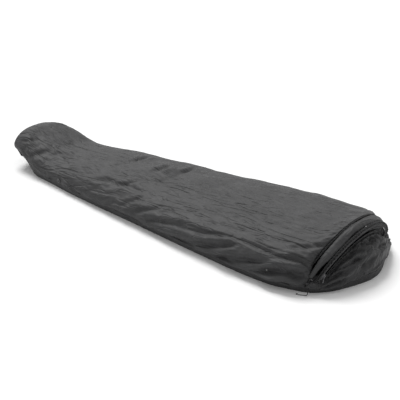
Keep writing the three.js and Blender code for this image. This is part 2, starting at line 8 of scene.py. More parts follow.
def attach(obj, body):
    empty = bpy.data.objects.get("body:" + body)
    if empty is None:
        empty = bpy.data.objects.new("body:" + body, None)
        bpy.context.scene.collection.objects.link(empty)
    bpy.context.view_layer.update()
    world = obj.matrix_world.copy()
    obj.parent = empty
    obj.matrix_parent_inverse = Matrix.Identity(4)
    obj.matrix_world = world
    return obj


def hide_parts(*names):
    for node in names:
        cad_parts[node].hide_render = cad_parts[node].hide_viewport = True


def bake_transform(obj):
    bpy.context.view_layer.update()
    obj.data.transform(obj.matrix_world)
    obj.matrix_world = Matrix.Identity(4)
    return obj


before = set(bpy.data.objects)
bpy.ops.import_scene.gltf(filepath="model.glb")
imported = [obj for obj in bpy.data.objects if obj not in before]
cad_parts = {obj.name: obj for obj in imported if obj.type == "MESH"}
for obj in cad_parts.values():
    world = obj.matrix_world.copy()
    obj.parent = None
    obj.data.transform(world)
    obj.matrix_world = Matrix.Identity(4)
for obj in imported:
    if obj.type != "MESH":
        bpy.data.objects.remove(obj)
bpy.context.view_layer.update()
print("frame loaded")


# camera, at the height of someone standing a few steps off the head end

cameraPlace = {
    "aim": (-0.04, 0.0, 0.0),
    "azimuth": 40.4,
    "elevation": 25.0,
    "distance": 4.5,
    "lens": 83.5,
    "shift": (0.06, 0.0125),
}


def addCamera(place):
    azimuth = math.radians(place["azimuth"])
    elevation = math.radians(place["elevation"])
    back = Vector((
        math.sin(azimuth) * math.cos(elevation),
        -math.cos(azimuth) * math.cos(elevation),
        math.sin(elevation),
    ))
    bpy.ops.object.camera_add()
    camera = bpy.context.object
    camera.location = Vector(place["aim"]) + back * place["distance"]
    camera.rotation_euler = (-back).to_track_quat("-Z", "Y").to_euler()
    camera.data.lens = place["lens"]
    camera.data.shift_x, camera.data.shift_y = place["shift"]
    bpy.context.scene.camera = camera


addCamera(cameraPlace)
print("camera placed")


# shared modelling helpers

def selectOnly(obj):
    bpy.ops.object.select_all(action="DESELECT")
    obj.select_set(True)
    bpy.context.view_layer.objects.active = obj


def readPoints(obj):
    flat = np.zeros(len(obj.data.vertices) * 3, np.float32)
    obj.data.vertices.foreach_get("co", flat)
    return flat.reshape(-1, 3).astype(float)


def writePoints(obj, points):
    obj.data.vertices.foreach_set("co", points.astype(np.float32).ravel())
    obj.data.update()


def addGrid(name, columns, rows):  # a flat cloth, one unit square, with its own UV map
    bpy.ops.object.select_all(action="DESELECT")
    bpy.ops.mesh.primitive_grid_add(x_subdivisions=columns, y_subdivisions=rows, size=1)
    obj = bpy.context.object
    obj.name = obj.data.name = name
    return obj


def layGrid(name, columns, rows, place, scale=(1, 1)):
    # place(u, v) gives the points of the surface; u and v run from 0 to 1
    obj = addGrid(name, columns, rows)
    flat = readPoints(obj)
    u, v = np.clip(flat[:, 0] + 0.5, 0, 1), np.clip(flat[:, 1] + 0.5, 0, 1)
    writePoints(obj, place(u, v))
    uvMap = obj.data.uv_layers[0].data
    uvs = np.zeros(len(uvMap) * 2, np.float32)
    uvMap.foreach_get("uv", uvs)
    uvMap.foreach_set("uv", (uvs.reshape(-1, 2) * scale).astype(np.float32).ravel())
    obj.data.shade_smooth()
    return obj


def weldDoubles(obj, distance=1e-6):
    selectOnly(obj)
    bpy.ops.object.mode_set(mode="EDIT")
    bpy.ops.mesh.select_all(action="SELECT")
    bpy.ops.mesh.remove_doubles(threshold=distance)
    bpy.ops.object.mode_set(mode="OBJECT")


def closeEnds(obj):
    selectOnly(obj)
    bpy.ops.object.mode_set(mode="EDIT")
    bpy.ops.mesh.select_all(action="SELECT")
    bpy.ops.mesh.fill_holes(sides=0)
    bpy.ops.mesh.normals_make_consistent(inside=False)
    bpy.ops.object.mode_set(mode="OBJECT")


def turnOver(obj):
    selectOnly(obj)
    bpy.ops.object.mode_set(mode="EDIT")
    bpy.ops.mesh.select_all(action="SELECT")
    bpy.ops.mesh.flip_normals()
    bpy.ops.object.mode_set(mode="OBJECT")


def applyModifier(obj, kind, **settings):
    selectOnly(obj)
    modifier = obj.modifiers.new(kind.title(), kind)
    for key, value in settings.items():
        setattr(modifier, key, value)
    bpy.ops.object.modifier_apply(modifier=modifier.name)


def thicken(obj, thickness):
    applyModifier(obj, "SOLIDIFY", thickness=thickness, offset=-1, use_even_offset=False)


def subdivide(obj, levels=1):
    applyModifier(obj, "SUBSURF", levels=levels, render_levels=levels)


def giveMaterial(obj, material):
    obj.data.materials.clear()
    obj.data.materials.append(material)


def smoothStep(low, high, value):
    share = np.clip((value - low) / (high - low), 0, 1)
    return share * share * (3 - 2 * share)


def readTable(table, x):  # a smooth curve through the rows, as in the part's own source
    rows = np.array(table, float)
    x = np.atleast_1d(np.asarray(x, float))
    i = np.clip(np.searchsorted(rows[:, 0], x) - 1, 0, len(rows) - 2)
    a, b = rows[i], rows[i + 1]
    before = rows[np.maximum(i - 1, 0)]
    after = rows[np.minimum(i + 2, len(rows) - 1)]
    span = b[:, :1] - a[:, :1]
    t = np.clip((x[:, None] - a[:, :1]) / span, 0, 1)
    leave = (b - before) / (b[:, :1] - before[:, :1]) * span
    arrive = (after - a) / (after[:, :1] - a[:, :1]) * span
    curve = (2 * t**3 - 3 * t**2 + 1) * a + (t**3 - 2 * t**2 + t) * leave
    curve += (3 * t**2 - 2 * t**3) * b + (t**3 - t**2) * arrive
    return curve[:, 1:].T


def noiseAt(x, y, seed, sizeX, sizeY, ridged=False):
    # smooth noise over the flat cloth; sizeX and sizeY are the lengths of its waves in metres
    flatX, flatY = np.ravel(x) / sizeX, np.ravel(y) / sizeY
    values = np.array([noise.noise(Vector((a, b, seed))) for a, b in zip(flatX, flatY)])
    if ridged:
        values = 1 - 2 * np.abs(values)
    return values.reshape(np.shape(x))


def smoothLine(points, steps):  # centripetal curve through the points, steps points in all
    knots = np.array(points, float)
    ends = [2 * knots[0] - knots[1], *knots, 2 * knots[-1] - knots[-2]]
    fine = []
    for i in range(1, len(ends) - 2):
        p = [np.array(ends[i + k]) for k in (-1, 0, 1, 2)]
        t = [0.0]
        for a, b in zip(p, p[1:]):
            t.append(t[-1] + max(np.linalg.norm(b - a), 1e-9) ** 0.5)
        for s in np.linspace(t[1], t[2], 24, endpoint=False):
            low = [((t[k + 1] - s) * p[k] + (s - t[k]) * p[k + 1]) / (t[k + 1] - t[k])
                   for k in range(3)]
            mid = [((t[k + 2] - s) * low[k] + (s - t[k]) * low[k + 1]) / (t[k + 2] - t[k])
                   for k in range(2)]
            fine.append(((t[2] - s) * mid[0] + (s - t[1]) * mid[1]) / (t[2] - t[1]))
    fine = np.array([*fine, knots[-1]])
    travel = np.concatenate([[0], np.cumsum(np.linalg.norm(np.diff(fine, axis=0), axis=1))])
    even = np.linspace(0, travel[-1], steps)
    return np.stack([np.interp(even, travel, fine[:, k]) for k in range(3)], 1)


def tubeFrames(line):  # tangent and two sides along a line, without twist
    tangent = np.gradient(line, axis=0)
    tangent /= np.linalg.norm(tangent, axis=1, keepdims=True)
    side = np.cross(tangent[0], (0.0, 0.0, 1.0) if abs(tangent[0][2]) < 0.9 else (1.0, 0.0, 0.0))
    sides = []
    for t in tangent:
        side = side - t * (side @ t)
        side = side / np.linalg.norm(side)
        sides.append(side)
    sides = np.array(sides)
    return tangent, sides, np.cross(tangent, sides)


def layTube(name, line, radius, sides=12, scale=None):
    _, first, second = tubeFrames(line)
    steps = len(line) - 1
    length = np.linalg.norm(np.diff(line, axis=0), axis=1).sum()

    def place(u, v):
        i = np.clip(np.rint(u * steps).astype(int), 0, steps)
        turn = -2 * math.pi * v
        reach = radius(u, v) if callable(radius) else radius
        ring = np.cos(turn)[:, None] * first[i] + np.sin(turn)[:, None] * second[i]
        return line[i] + ring * np.reshape(reach, (-1, 1) if np.ndim(reach) else ())

    size = scale or (length, 2 * math.pi * (0.001 if callable(radius) else radius))
    obj = layGrid(name, steps, sides, place, size)
    weldDoubles(obj)
    closeEnds(obj)
    return obj


def copyAlong(name, pattern, places):
    # one small shape, copied to each place (a 4 x 4 matrix), as one mesh
    points = np.array([v.co for v in pattern.data.vertices], float)
    faces = [list(p.vertices) for p in pattern.data.polygons]
    allPoints, allFaces = [], []
    for k, matrix in enumerate(places):
        m = np.array(matrix, float)
        allPoints.append(points @ m[:3, :3].T + m[:3, 3])
        allFaces.extend([[i + k * len(points) for i in face] for face in faces])
    mesh = bpy.data.meshes.new(name)
    mesh.from_pydata(np.concatenate(allPoints).tolist(), [], allFaces)
    mesh.update()
    obj = bpy.data.objects.new(name, mesh)
    bpy.context.scene.collection.objects.link(obj)
    bpy.data.objects.remove(pattern)
    return obj


# materials

def newMaterial(name, colour, roughness, **settings):
    material = bpy.data.materials.new(name)
    material.use_nodes = True
    shader = material.node_tree.nodes["Principled BSDF"]
    shader.inputs["Base Color"].default_value = (*colour, 1)
    shader.inputs["Roughness"].default_value = roughness
    for key, value in settings.items():
        shader.inputs[key].default_value = value
    return material, material.node_tree.nodes, material.node_tree.links, shader


def addNode(nodes, kind, **settings):
    node = nodes.new(kind)
    for key, value in settings.items():
        if key in node.inputs:
            node.inputs[key].default_value = value
        else:
            setattr(node, key, value)
    return node


def mapped(nodes, links, source, scale, rotation=(0, 0, 0)):
    coordinates = addNode(nodes, "ShaderNodeTexCoord")
    mapping = addNode(nodes, "ShaderNodeMapping", Scale=scale, Rotation=rotation)
    links.new(coordinates.outputs[source], mapping.inputs["Vector"])
    return mapping.outputs["Vector"]


def mathNode(nodes, links, operation, first, second):
    node = addNode(nodes, "ShaderNodeMath", operation=operation)
    for socket, value in zip(node.inputs, (first, second)):
        if isinstance(value, (int, float)):
            socket.default_value = value
        else:
            links.new(value, socket)
    return node.outputs[0]


def tone(nodes, links, value, stops):  # a colour ramp; stops are (place, colour)
    ramp = addNode(nodes, "ShaderNodeValToRGB")
    links.new(value, ramp.inputs["Fac"])
    elements = ramp.color_ramp.elements
    while len(elements) < len(stops):
        elements.new(0.5)
    for element, (place, colour) in zip(elements, stops):
        element.position = place
        element.color = (*colour, 1)
    return ramp.outputs["Color"]


def spread(nodes, links, value, low, high):  # a number ramp from low to high
    node = addNode(nodes, "ShaderNodeMapRange")
    links.new(value, node.inputs["Value"])
    node.inputs["To Min"].default_value, node.inputs["To Max"].default_value = low, high
    return node.outputs["Result"]


def addBump(nodes, links, shader, heights):  # heights are (socket, strength, distance)
    previous = None
    for height, strength, distance in heights:
        bump = addNode(nodes, "ShaderNodeBump", Strength=strength, Distance=distance)
        links.new(height, bump.inputs["Height"])
        if previous:
            links.new(previous, bump.inputs["Normal"])
        previous = bump.outputs["Normal"]
    links.new(previous, shader.inputs["Normal"])


def wrinkleHeight(nodes, links, along, across, turn):
    # thin pressed lines where a stretched noise crosses its middle value; a second noise lets
    # them come and go
    flat = mapped(nodes, links, "UV", (along, across, 1), (0, 0, turn))
    wave = addNode(nodes, "ShaderNodeTexNoise", Scale=1.0, Detail=1.5, Distortion=0.5)
    links.new(flat, wave.inputs["Vector"])
    middle = mathNode(nodes, links, "SUBTRACT", wave.outputs["Fac"], 0.5)
    line = addNode(nodes, "ShaderNodeMapRange", **{"From Max": 0.07})
    links.new(mathNode(nodes, links, "ABSOLUTE", middle, 0.0), line.inputs["Value"])
    line.interpolation_type = "SMOOTHSTEP"
    patch = addNode(nodes, "ShaderNodeTexNoise", Scale=along * 1.3, Detail=1.0)
    links.new(mapped(nodes, links, "UV", (1, 2.5, 1)), patch.inputs["Vector"])
    share = addNode(nodes, "ShaderNodeMapRange", **{"From Min": 0.42, "From Max": 0.6})
    links.new(patch.outputs["Fac"], share.inputs["Value"])
    return mathNode(nodes, links, "MULTIPLY", line.outputs["Result"], share.outputs["Result"])


def clothMaterial(name, look):
    # plain-woven nylon: a fine grid of threads, soft crumple, patches of darker and lighter tone
    # that follow the slack bump, darker in its dips
    material, nodes, links, shader = newMaterial(
        name, look["colour"], look["roughness"],
        **{"Sheen Weight": look["sheen"], "Sheen Roughness": 0.45, "Specular IOR Level": 0.35})
    flatCloth = mapped(nodes, links, "UV", (1, 1, 1))
    warp = addNode(nodes, "ShaderNodeTexWave", wave_type="BANDS", bands_direction="X",
                   Scale=look["threads"], Distortion=0.6, Detail=1.0)
    weft = addNode(nodes, "ShaderNodeTexWave", wave_type="BANDS", bands_direction="Y",
                   Scale=look["threads"], Distortion=0.6, Detail=1.0)
    links.new(flatCloth, warp.inputs["Vector"])
    links.new(flatCloth, weft.inputs["Vector"])
    weave = mathNode(nodes, links, "MULTIPLY", warp.outputs["Fac"], weft.outputs["Fac"])
    crumple = addNode(nodes, "ShaderNodeTexNoise", Scale=look["crumpleScale"], Detail=5.0,
                      Roughness=0.55, Distortion=0.8)
    slack = addNode(nodes, "ShaderNodeTexNoise", Scale=7.0, Detail=3.0, Distortion=1.2)
    slubs = addNode(nodes, "ShaderNodeTexNoise", Scale=1.0, Detail=2.0)
    long = mapped(nodes, links, "UV", (60, 900, 1))
    links.new(long, slubs.inputs["Vector"])
    place = mapped(nodes, links, "Object", (1, 1, 1))
    links.new(place, crumple.inputs["Vector"])
    links.new(place, slack.inputs["Vector"])
    folds = []
    for along, across, turn, depth in look["wrinkles"]:
        folds.append((wrinkleHeight(nodes, links, along, across, turn), 0.8, depth))
    tones = [tuple(c * k for c in look["colour"]) for k in (0.82, 1.0, 1.16)]
    patches = tone(nodes, links, slack.outputs["Fac"],
                   [(0.3, tones[0]), (0.52, tones[1]), (0.75, tones[2])])
    mix = addNode(nodes, "ShaderNodeMix", data_type="RGBA", blend_type="MULTIPLY")
    mix.inputs["Factor"].default_value = 0.5
    links.new(patches, mix.inputs["A"])
    threadTone = mathNode(nodes, links, "ADD", weave, slubs.outputs["Fac"])
    links.new(tone(nodes, links, threadTone, [(0.2, (0.72,) * 3), (1.0, (1.15,) * 3)]),
              mix.inputs["B"])
    links.new(mix.outputs["Result"], shader.inputs["Base Color"])
    links.new(spread(nodes, links, crumple.outputs["Fac"], look["roughness"] - 0.08,
                     look["roughness"] + 0.08), shader.inputs["Roughness"])
    addBump(nodes, links, shader, [
        *folds,
        (slack.outputs["Fac"], 0.35, 0.010),
        (crumple.outputs["Fac"], look["crumple"], 0.004),
        (weave, 0.25, 0.0002),
    ])
    return material


def webbingMaterial(name, look):
    # ribbed tape or braid: diagonal ribs that cross, on the piece's own UV map
    material, nodes, links, shader = newMaterial(
        name, look["colour"], look["roughness"],
        **{"Sheen Weight": 0.15, "Sheen Roughness": 0.5, "Specular IOR Level": 0.3})
    ribs = []
    for angle in (look["angle"], -look["angle"]):
        wave = addNode(nodes, "ShaderNodeTexWave", wave_type="BANDS", bands_direction="X",
                       Scale=look["ribs"], Distortion=0.4, Detail=1.0)
        links.new(mapped(nodes, links, "UV", (1, 1, 1), (0, 0, math.radians(angle))),
                  wave.inputs["Vector"])
        ribs.append(wave.outputs["Fac"])
    weave = mathNode(nodes, links, "MAXIMUM", *ribs)
    fuzz = addNode(nodes, "ShaderNodeTexNoise", Scale=900.0, Detail=3.0)
    links.new(mapped(nodes, links, "Object", (1, 1, 1)), fuzz.inputs["Vector"])
    height = mathNode(nodes, links, "ADD", weave,
                      mathNode(nodes, links, "MULTIPLY", fuzz.outputs["Fac"], 0.4))
    low = tuple(c * 0.5 for c in look["colour"])
    high = tuple(c * 1.7 for c in look["colour"])
    links.new(tone(nodes, links, height, [(0.3, low), (1.2, high)]), shader.inputs["Base Color"])
    addBump(nodes, links, shader, [(height, 0.6, look["relief"])])
    return material


def hardMaterial(name, look):
    # moulded plastic or painted metal: fine grain, handling marks, paler worn edges
    material, nodes, links, shader = newMaterial(
        name, look["colour"], look["roughness"], **{"Metallic": look["metallic"]})
    place = mapped(nodes, links, "Object", (1, 1, 1))
    grain = addNode(nodes, "ShaderNodeTexNoise", Scale=look["grain"], Detail=6.0, Roughness=0.6)
    marks = addNode(nodes, "ShaderNodeTexNoise", Scale=140.0, Detail=4.0, Distortion=1.5)
    links.new(place, grain.inputs["Vector"])
    links.new(place, marks.inputs["Vector"])
    geometry = addNode(nodes, "ShaderNodeNewGeometry")
    edges = tone(nodes, links, geometry.outputs["Pointiness"],
                 [(0.5, (0, 0, 0)), (0.56, (1, 1, 1))])
    mix = addNode(nodes, "ShaderNodeMix", data_type="RGBA")
    wear = mathNode(nodes, links, "MULTIPLY", edges, marks.outputs["Fac"])
    links.new(wear, mix.inputs["Factor"])
    links.new(tone(nodes, links, marks.outputs["Fac"], [
        (0.35, tuple(c * 0.75 for c in look["colour"])),
        (0.7, tuple(c * 1.3 for c in look["colour"]))]),
        mix.inputs["A"])
    mix.inputs["B"].default_value = (*look["worn"], 1)
    links.new(mix.outputs["Result"], shader.inputs["Base Color"])
    links.new(spread(nodes, links, marks.outputs["Fac"], look["roughness"] - 0.1,
                     look["roughness"] + 0.15), shader.inputs["Roughness"])
    addBump(nodes, links, shader, [(grain.outputs["Fac"], 0.3, 0.00015)])
    return material


clothLook = {
    "shell": {"colour": (0.034, 0.034, 0.035), "roughness": 0.62, "sheen": 0.05,
              "threads": 420.0, "crumpleScale": 26.0, "crumple": 0.5,
              "wrinkles": ((2.6, 15.0, 0.10, 0.0060), (3.6, 21.0, -0.22, 0.0045),
                           (9.0, 30.0, 0.45, 0.0028))},
    # the floor cloth's colour is a little darker than the shell's: painted shade along the sack's
    # lower edge
    "floor": {"colour": (0.028, 0.028, 0.029), "roughness": 0.56, "sheen": 0.04,
              "threads": 360.0, "crumpleScale": 20.0, "crumple": 0.5,
              "wrinkles": ((4.0, 14.0, 0.1, 0.003),)},
    # the hood cloth's colour is darker than the shell's: painted shade on the hood, which faces
    # away from the key light; the gussets and the draft flap share this cloth
    "hood": {"colour": (0.029, 0.029, 0.030), "roughness": 0.62, "sheen": 0.05,
             "threads": 420.0, "crumpleScale": 30.0, "crumple": 0.7,
             "wrinkles": ((7.0, 17.0, 0.5, 0.0050), (12.0, 26.0, -0.6, 0.0035))},
}
webbingLook = {
    "binding": {"colour": (0.006, 0.006, 0.0065), "roughness": 0.85, "angle": 90.0,
                "ribs": 190.0, "relief": 0.0004},
    "zipTape": {"colour": (0.005, 0.005, 0.0055), "roughness": 0.85, "angle": 32.0,
                "ribs": 160.0, "relief": 0.0003},
    "cord": {"colour": (0.007, 0.007, 0.0075), "roughness": 0.75, "angle": 48.0,
             "ribs": 120.0, "relief": 0.0005},
    "thread": {"colour": (0.03, 0.03, 0.031), "roughness": 0.7, "angle": 40.0,
               "ribs": 400.0, "relief": 0.0001},
    "label": {"colour": (0.45, 0.45, 0.44), "roughness": 0.8, "angle": 90.0,
              "ribs": 260.0, "relief": 0.0001},
    "sealTape": {"colour": (0.10, 0.10, 0.105), "roughness": 0.5, "angle": 45.0,
                 "ribs": 150.0, "relief": 0.00005},
}
hardLook = {
    "plastic": {"colour": (0.008, 0.008, 0.009), "roughness": 0.38, "metallic": 0.0,
                "grain": 2200.0, "worn": (0.05, 0.05, 0.052)},
    "coil": {"colour": (0.010, 0.010, 0.011), "roughness": 0.32, "metallic": 0.0,
             "grain": 3000.0, "worn": (0.03, 0.03, 0.03)},
    "metal": {"colour": (0.010, 0.010, 0.011), "roughness": 0.42, "metallic": 0.15,
              "grain": 1600.0, "worn": (0.35, 0.35, 0.36)},
    "spring": {"colour": (0.42, 0.42, 0.43), "roughness": 0.28, "metallic": 1.0,
               "grain": 2500.0, "worn": (0.6, 0.6, 0.6)},
}
shellCloth = clothMaterial("charcoalShellCloth", clothLook["shell"])
floorCloth = clothMaterial("coatedFloorClothWithPaintedShade", clothLook["floor"])
hoodCloth = clothMaterial("charcoalHoodClothWithPaintedShade", clothLook["hood"])
bindingTape = webbingMaterial("blackBindingTape", webbingLook["binding"])
zipTape = webbingMaterial("herringboneZipTape", webbingLook["zipTape"])
cordBraid = webbingMaterial("blackCordBraid", webbingLook["cord"])
seamThread = webbingMaterial("charcoalThread", webbingLook["thread"])
labelCloth = webbingMaterial("paleLabelCloth", webbingLook["label"])
sealTape = webbingMaterial("clearSealTape", webbingLook["sealTape"])
blackPlastic = hardMaterial("blackMouldedPlastic", hardLook["plastic"])
nylonCoil = hardMaterial("blackNylonCoil", hardLook["coil"])
darkMetal = hardMaterial("darkPaintedMetal", hardLook["metal"])
springSteel = hardMaterial("brightSpringSteel", hardLook["spring"])
print("materials made")


# the body's own shape, in metres

sack = {
    "stations": (  # distance along, half width, height
        (-1.003, 0.182, 0.176), (-0.940, 0.194, 0.188), (-0.840, 0.206, 0.153),
        (-0.740, 0.217, 0.124), (-0.490, 0.254, 0.136), (-0.040, 0.296, 0.150),
        (0.340, 0.334, 0.171), (0.640, 0.356, 0.187), (0.800, 0.350, 0.193),
    ),
    "headPlan": (  # distance along, half width of the floor past the shoulder
        (0.800, 0.336), (0.882, 0.313), (0.930, 0.286), (0.968, 0.240),
        (1.000, 0.178), (1.028, 0.108), (1.046, 0.044),
    ),
    "seam": 0.028,
    "belly": 0.3,
    "undercut": 0.04,
    "footUndercut": 0.16,
    "footReach": 0.16,
    "footLean": 0.22,
    "headDraw": 0.03,
}
footX = sack["stations"][0][0]
shoulderX = sack["stations"][-1][0]

mouth = {
    "x": 0.922,
    "lean": math.radians(19),
    "centre": -0.122,
    "zipRadius": 0.320,
    "hoodZipRadius": 0.300,
    "zipSpan": math.radians(53),
    "hoodSpan": math.radians(50),
    "coilRadius": 0.0019,
    "collarRadius": 0.338,
    "collarOffset": -0.034,
    "shellEdgeOffset": -0.064,
    "shellEdgeRadius": 0.342,
}


def mouthPoint(offset, radius, angle):
    rise = mouth["centre"] + radius * np.cos(angle)
    cosLean, sinLean = math.cos(mouth["lean"]), math.sin(mouth["lean"])
    x = mouth["x"] + offset * cosLean + rise * sinLean
    z = -offset * sinLean + rise * cosLean
    return np.stack(np.broadcast_arrays(x, radius * np.sin(angle), z), -1)


def footShare(x):
    return np.maximum(0, 1 - (x - footX) / sack["footReach"])


def bodyOutline(x, v):  # one point of the lofted body; v runs from the near seam over the crown
    halfWidth, height = readTable(sack["stations"], x)
    t = 1 - np.abs(2 * v - 1)
    belly = sack["belly"] * height
    undercut = sack["undercut"] + sack["footUndercut"] * footShare(x)
    wallZ = sack["seam"] + (belly - sack["seam"]) * np.clip(t / 0.2, 0, 1)
    turn = np.clip((t - 0.2) / 0.8, 0, 1) * math.pi / 2
    wallY = halfWidth * (1 - undercut * (1 - wallZ / belly) ** 2)
    roofY = halfWidth * np.maximum(np.cos(turn), 0) ** 0.8
    roofZ = belly + (height - belly) * np.sin(turn) ** 0.9
    y, z = np.where(t < 0.2, wallY, roofY), np.where(t < 0.2, wallZ, roofZ)
    return np.stack([x - sack["footLean"] * footShare(x) * z, np.where(v < 0.5, -y, y), z], -1)


# creases: each one follows a line over the flat cloth, deep in the middle and fading at its ends

toeRound = {"start": -0.80, "full": -1.02, "top": 0.15, "lift": 0.058, "narrow": 0.12,
            "pullIn": 0.014}


def roundToe(obj):  # the filled foot is round below, so its lower edges curl up off the ground
    points = readPoints(obj)
    x, y, z = points.T
    share = smoothStep(-toeRound["start"], -toeRound["full"], -x)
    halfWidth = readTable(sack["stations"], np.clip(x, footX, shoulderX))[0]
    edge = np.clip(np.abs(y) / halfWidth, 0, 1) ** 2
    low = 1 - smoothStep(0, toeRound["top"], z)
    raised = z + toeRound["lift"] * share * edge * low
    drawn = y * (1 - toeRound["narrow"] * share * low)
    writePoints(obj, np.stack([x + toeRound["pullIn"] * share * low, drawn, raised], 1))


def creaseHeight(x, a, creases):
    height = np.zeros(len(x))
    for line, width, depth, lift in creases:
        knots = np.array([(px, pa, 0.0) for px, pa in line])
        path = smoothLine(knots, 14)[:, :2]
        near = np.full(len(x), 1e9)
        share = np.zeros(len(x))
        for i, (start, stop) in enumerate(zip(path, path[1:])):
            along = stop - start
            t = ((x - start[0]) * along[0] + (a - start[1]) * along[1]) / (along @ along)
            t = np.clip(t, 0, 1)
            gap = np.hypot(x - start[0] - t * along[0], a - start[1] - t * along[1])
            closer = gap < near
            near = np.where(closer, gap, near)
            share = np.where(closer, (i + t) / (len(path) - 1), share)
        fade = smoothStep(0, 0.25, share) * (1 - smoothStep(0.7, 1, share))
        thin = width * (0.6 + 0.4 * fade)
        valley = -depth * np.exp(-(near / thin) ** 2)
        welt = lift * np.exp(-((near - 2.0 * thin) / (1.3 * thin)) ** 2)
        height += fade * (valley + welt)
    return height


def vertexUv(obj):
    uvData = obj.data.uv_layers[0].data
    uvs = np.zeros(len(uvData) * 2, np.float32)
    uvData.foreach_get("uv", uvs)
    corners = np.zeros(len(obj.data.loops), np.int32)
    obj.data.loops.foreach_get("vertex_index", corners)
    perVertex = np.zeros((len(obj.data.vertices), 2))
    perVertex[corners] = uvs.reshape(-1, 2)
    return perVertex


def setVertexUv(obj, perVertex):
    corners = np.zeros(len(obj.data.loops), np.int32)
    obj.data.loops.foreach_get("vertex_index", corners)
    obj.data.uv_layers[0].data.foreach_set("uv", perVertex[corners].astype(np.float32).ravel())


def pushOut(obj, height):  # moves each point along its normal
    normals = np.zeros(len(obj.data.vertices) * 3, np.float32)
    obj.data.vertices.foreach_get("normal", normals)
    writePoints(obj, readPoints(obj) + normals.reshape(-1, 3) * np.reshape(height, (-1, 1)))


def settle(obj, cloth, pinned):
    # a short cloth simulation: the pinned share of each point holds it, and no point moves
    # further than the cap
    before = readPoints(obj)
    group = obj.vertex_groups.new(name="pinned")
    for level in np.unique(np.round(pinned, 2)):
        members = np.nonzero(np.round(pinned, 2) == level)[0]
        group.add(members.tolist(), float(level), "REPLACE")
    selectOnly(obj)
    modifier = obj.modifiers.new("Cloth", "CLOTH")
    settings = modifier.settings
    settings.quality = 5
    settings.mass = 0.15
    settings.tension_stiffness = settings.compression_stiffness = cloth["stretch"]
    settings.shear_stiffness = cloth["stretch"] * 0.3
    settings.bending_stiffness = cloth["bend"]
    settings.air_damping = 3.0
    settings.shrink_min = settings.shrink_max = -cloth["spare"]
    settings.vertex_group_mass = "pinned"
    settings.use_pressure = cloth["pressure"] > 0
    settings.uniform_pressure_force = cloth["pressure"]
    settings.effector_weights.gravity = cloth["gravity"]
    modifier.collision_settings.use_collision = False
    modifier.collision_settings.use_self_collision = False
    scene = bpy.context.scene
    for number in range(1, cloth["frames"] + 1):
        scene.frame_set(number)
    bpy.ops.object.modifier_apply(modifier=modifier.name)
    scene.frame_set(1)
    obj.vertex_groups.remove(obj.vertex_groups["pinned"])
    moved = readPoints(obj) - before
    reach = np.linalg.norm(moved, axis=1, keepdims=True)
    moved *= np.minimum(1, cloth["cap"] / np.maximum(reach, 1e-9))
    writePoints(obj, before + moved)


# upper shell: one long panel from the foot seam to the mouth

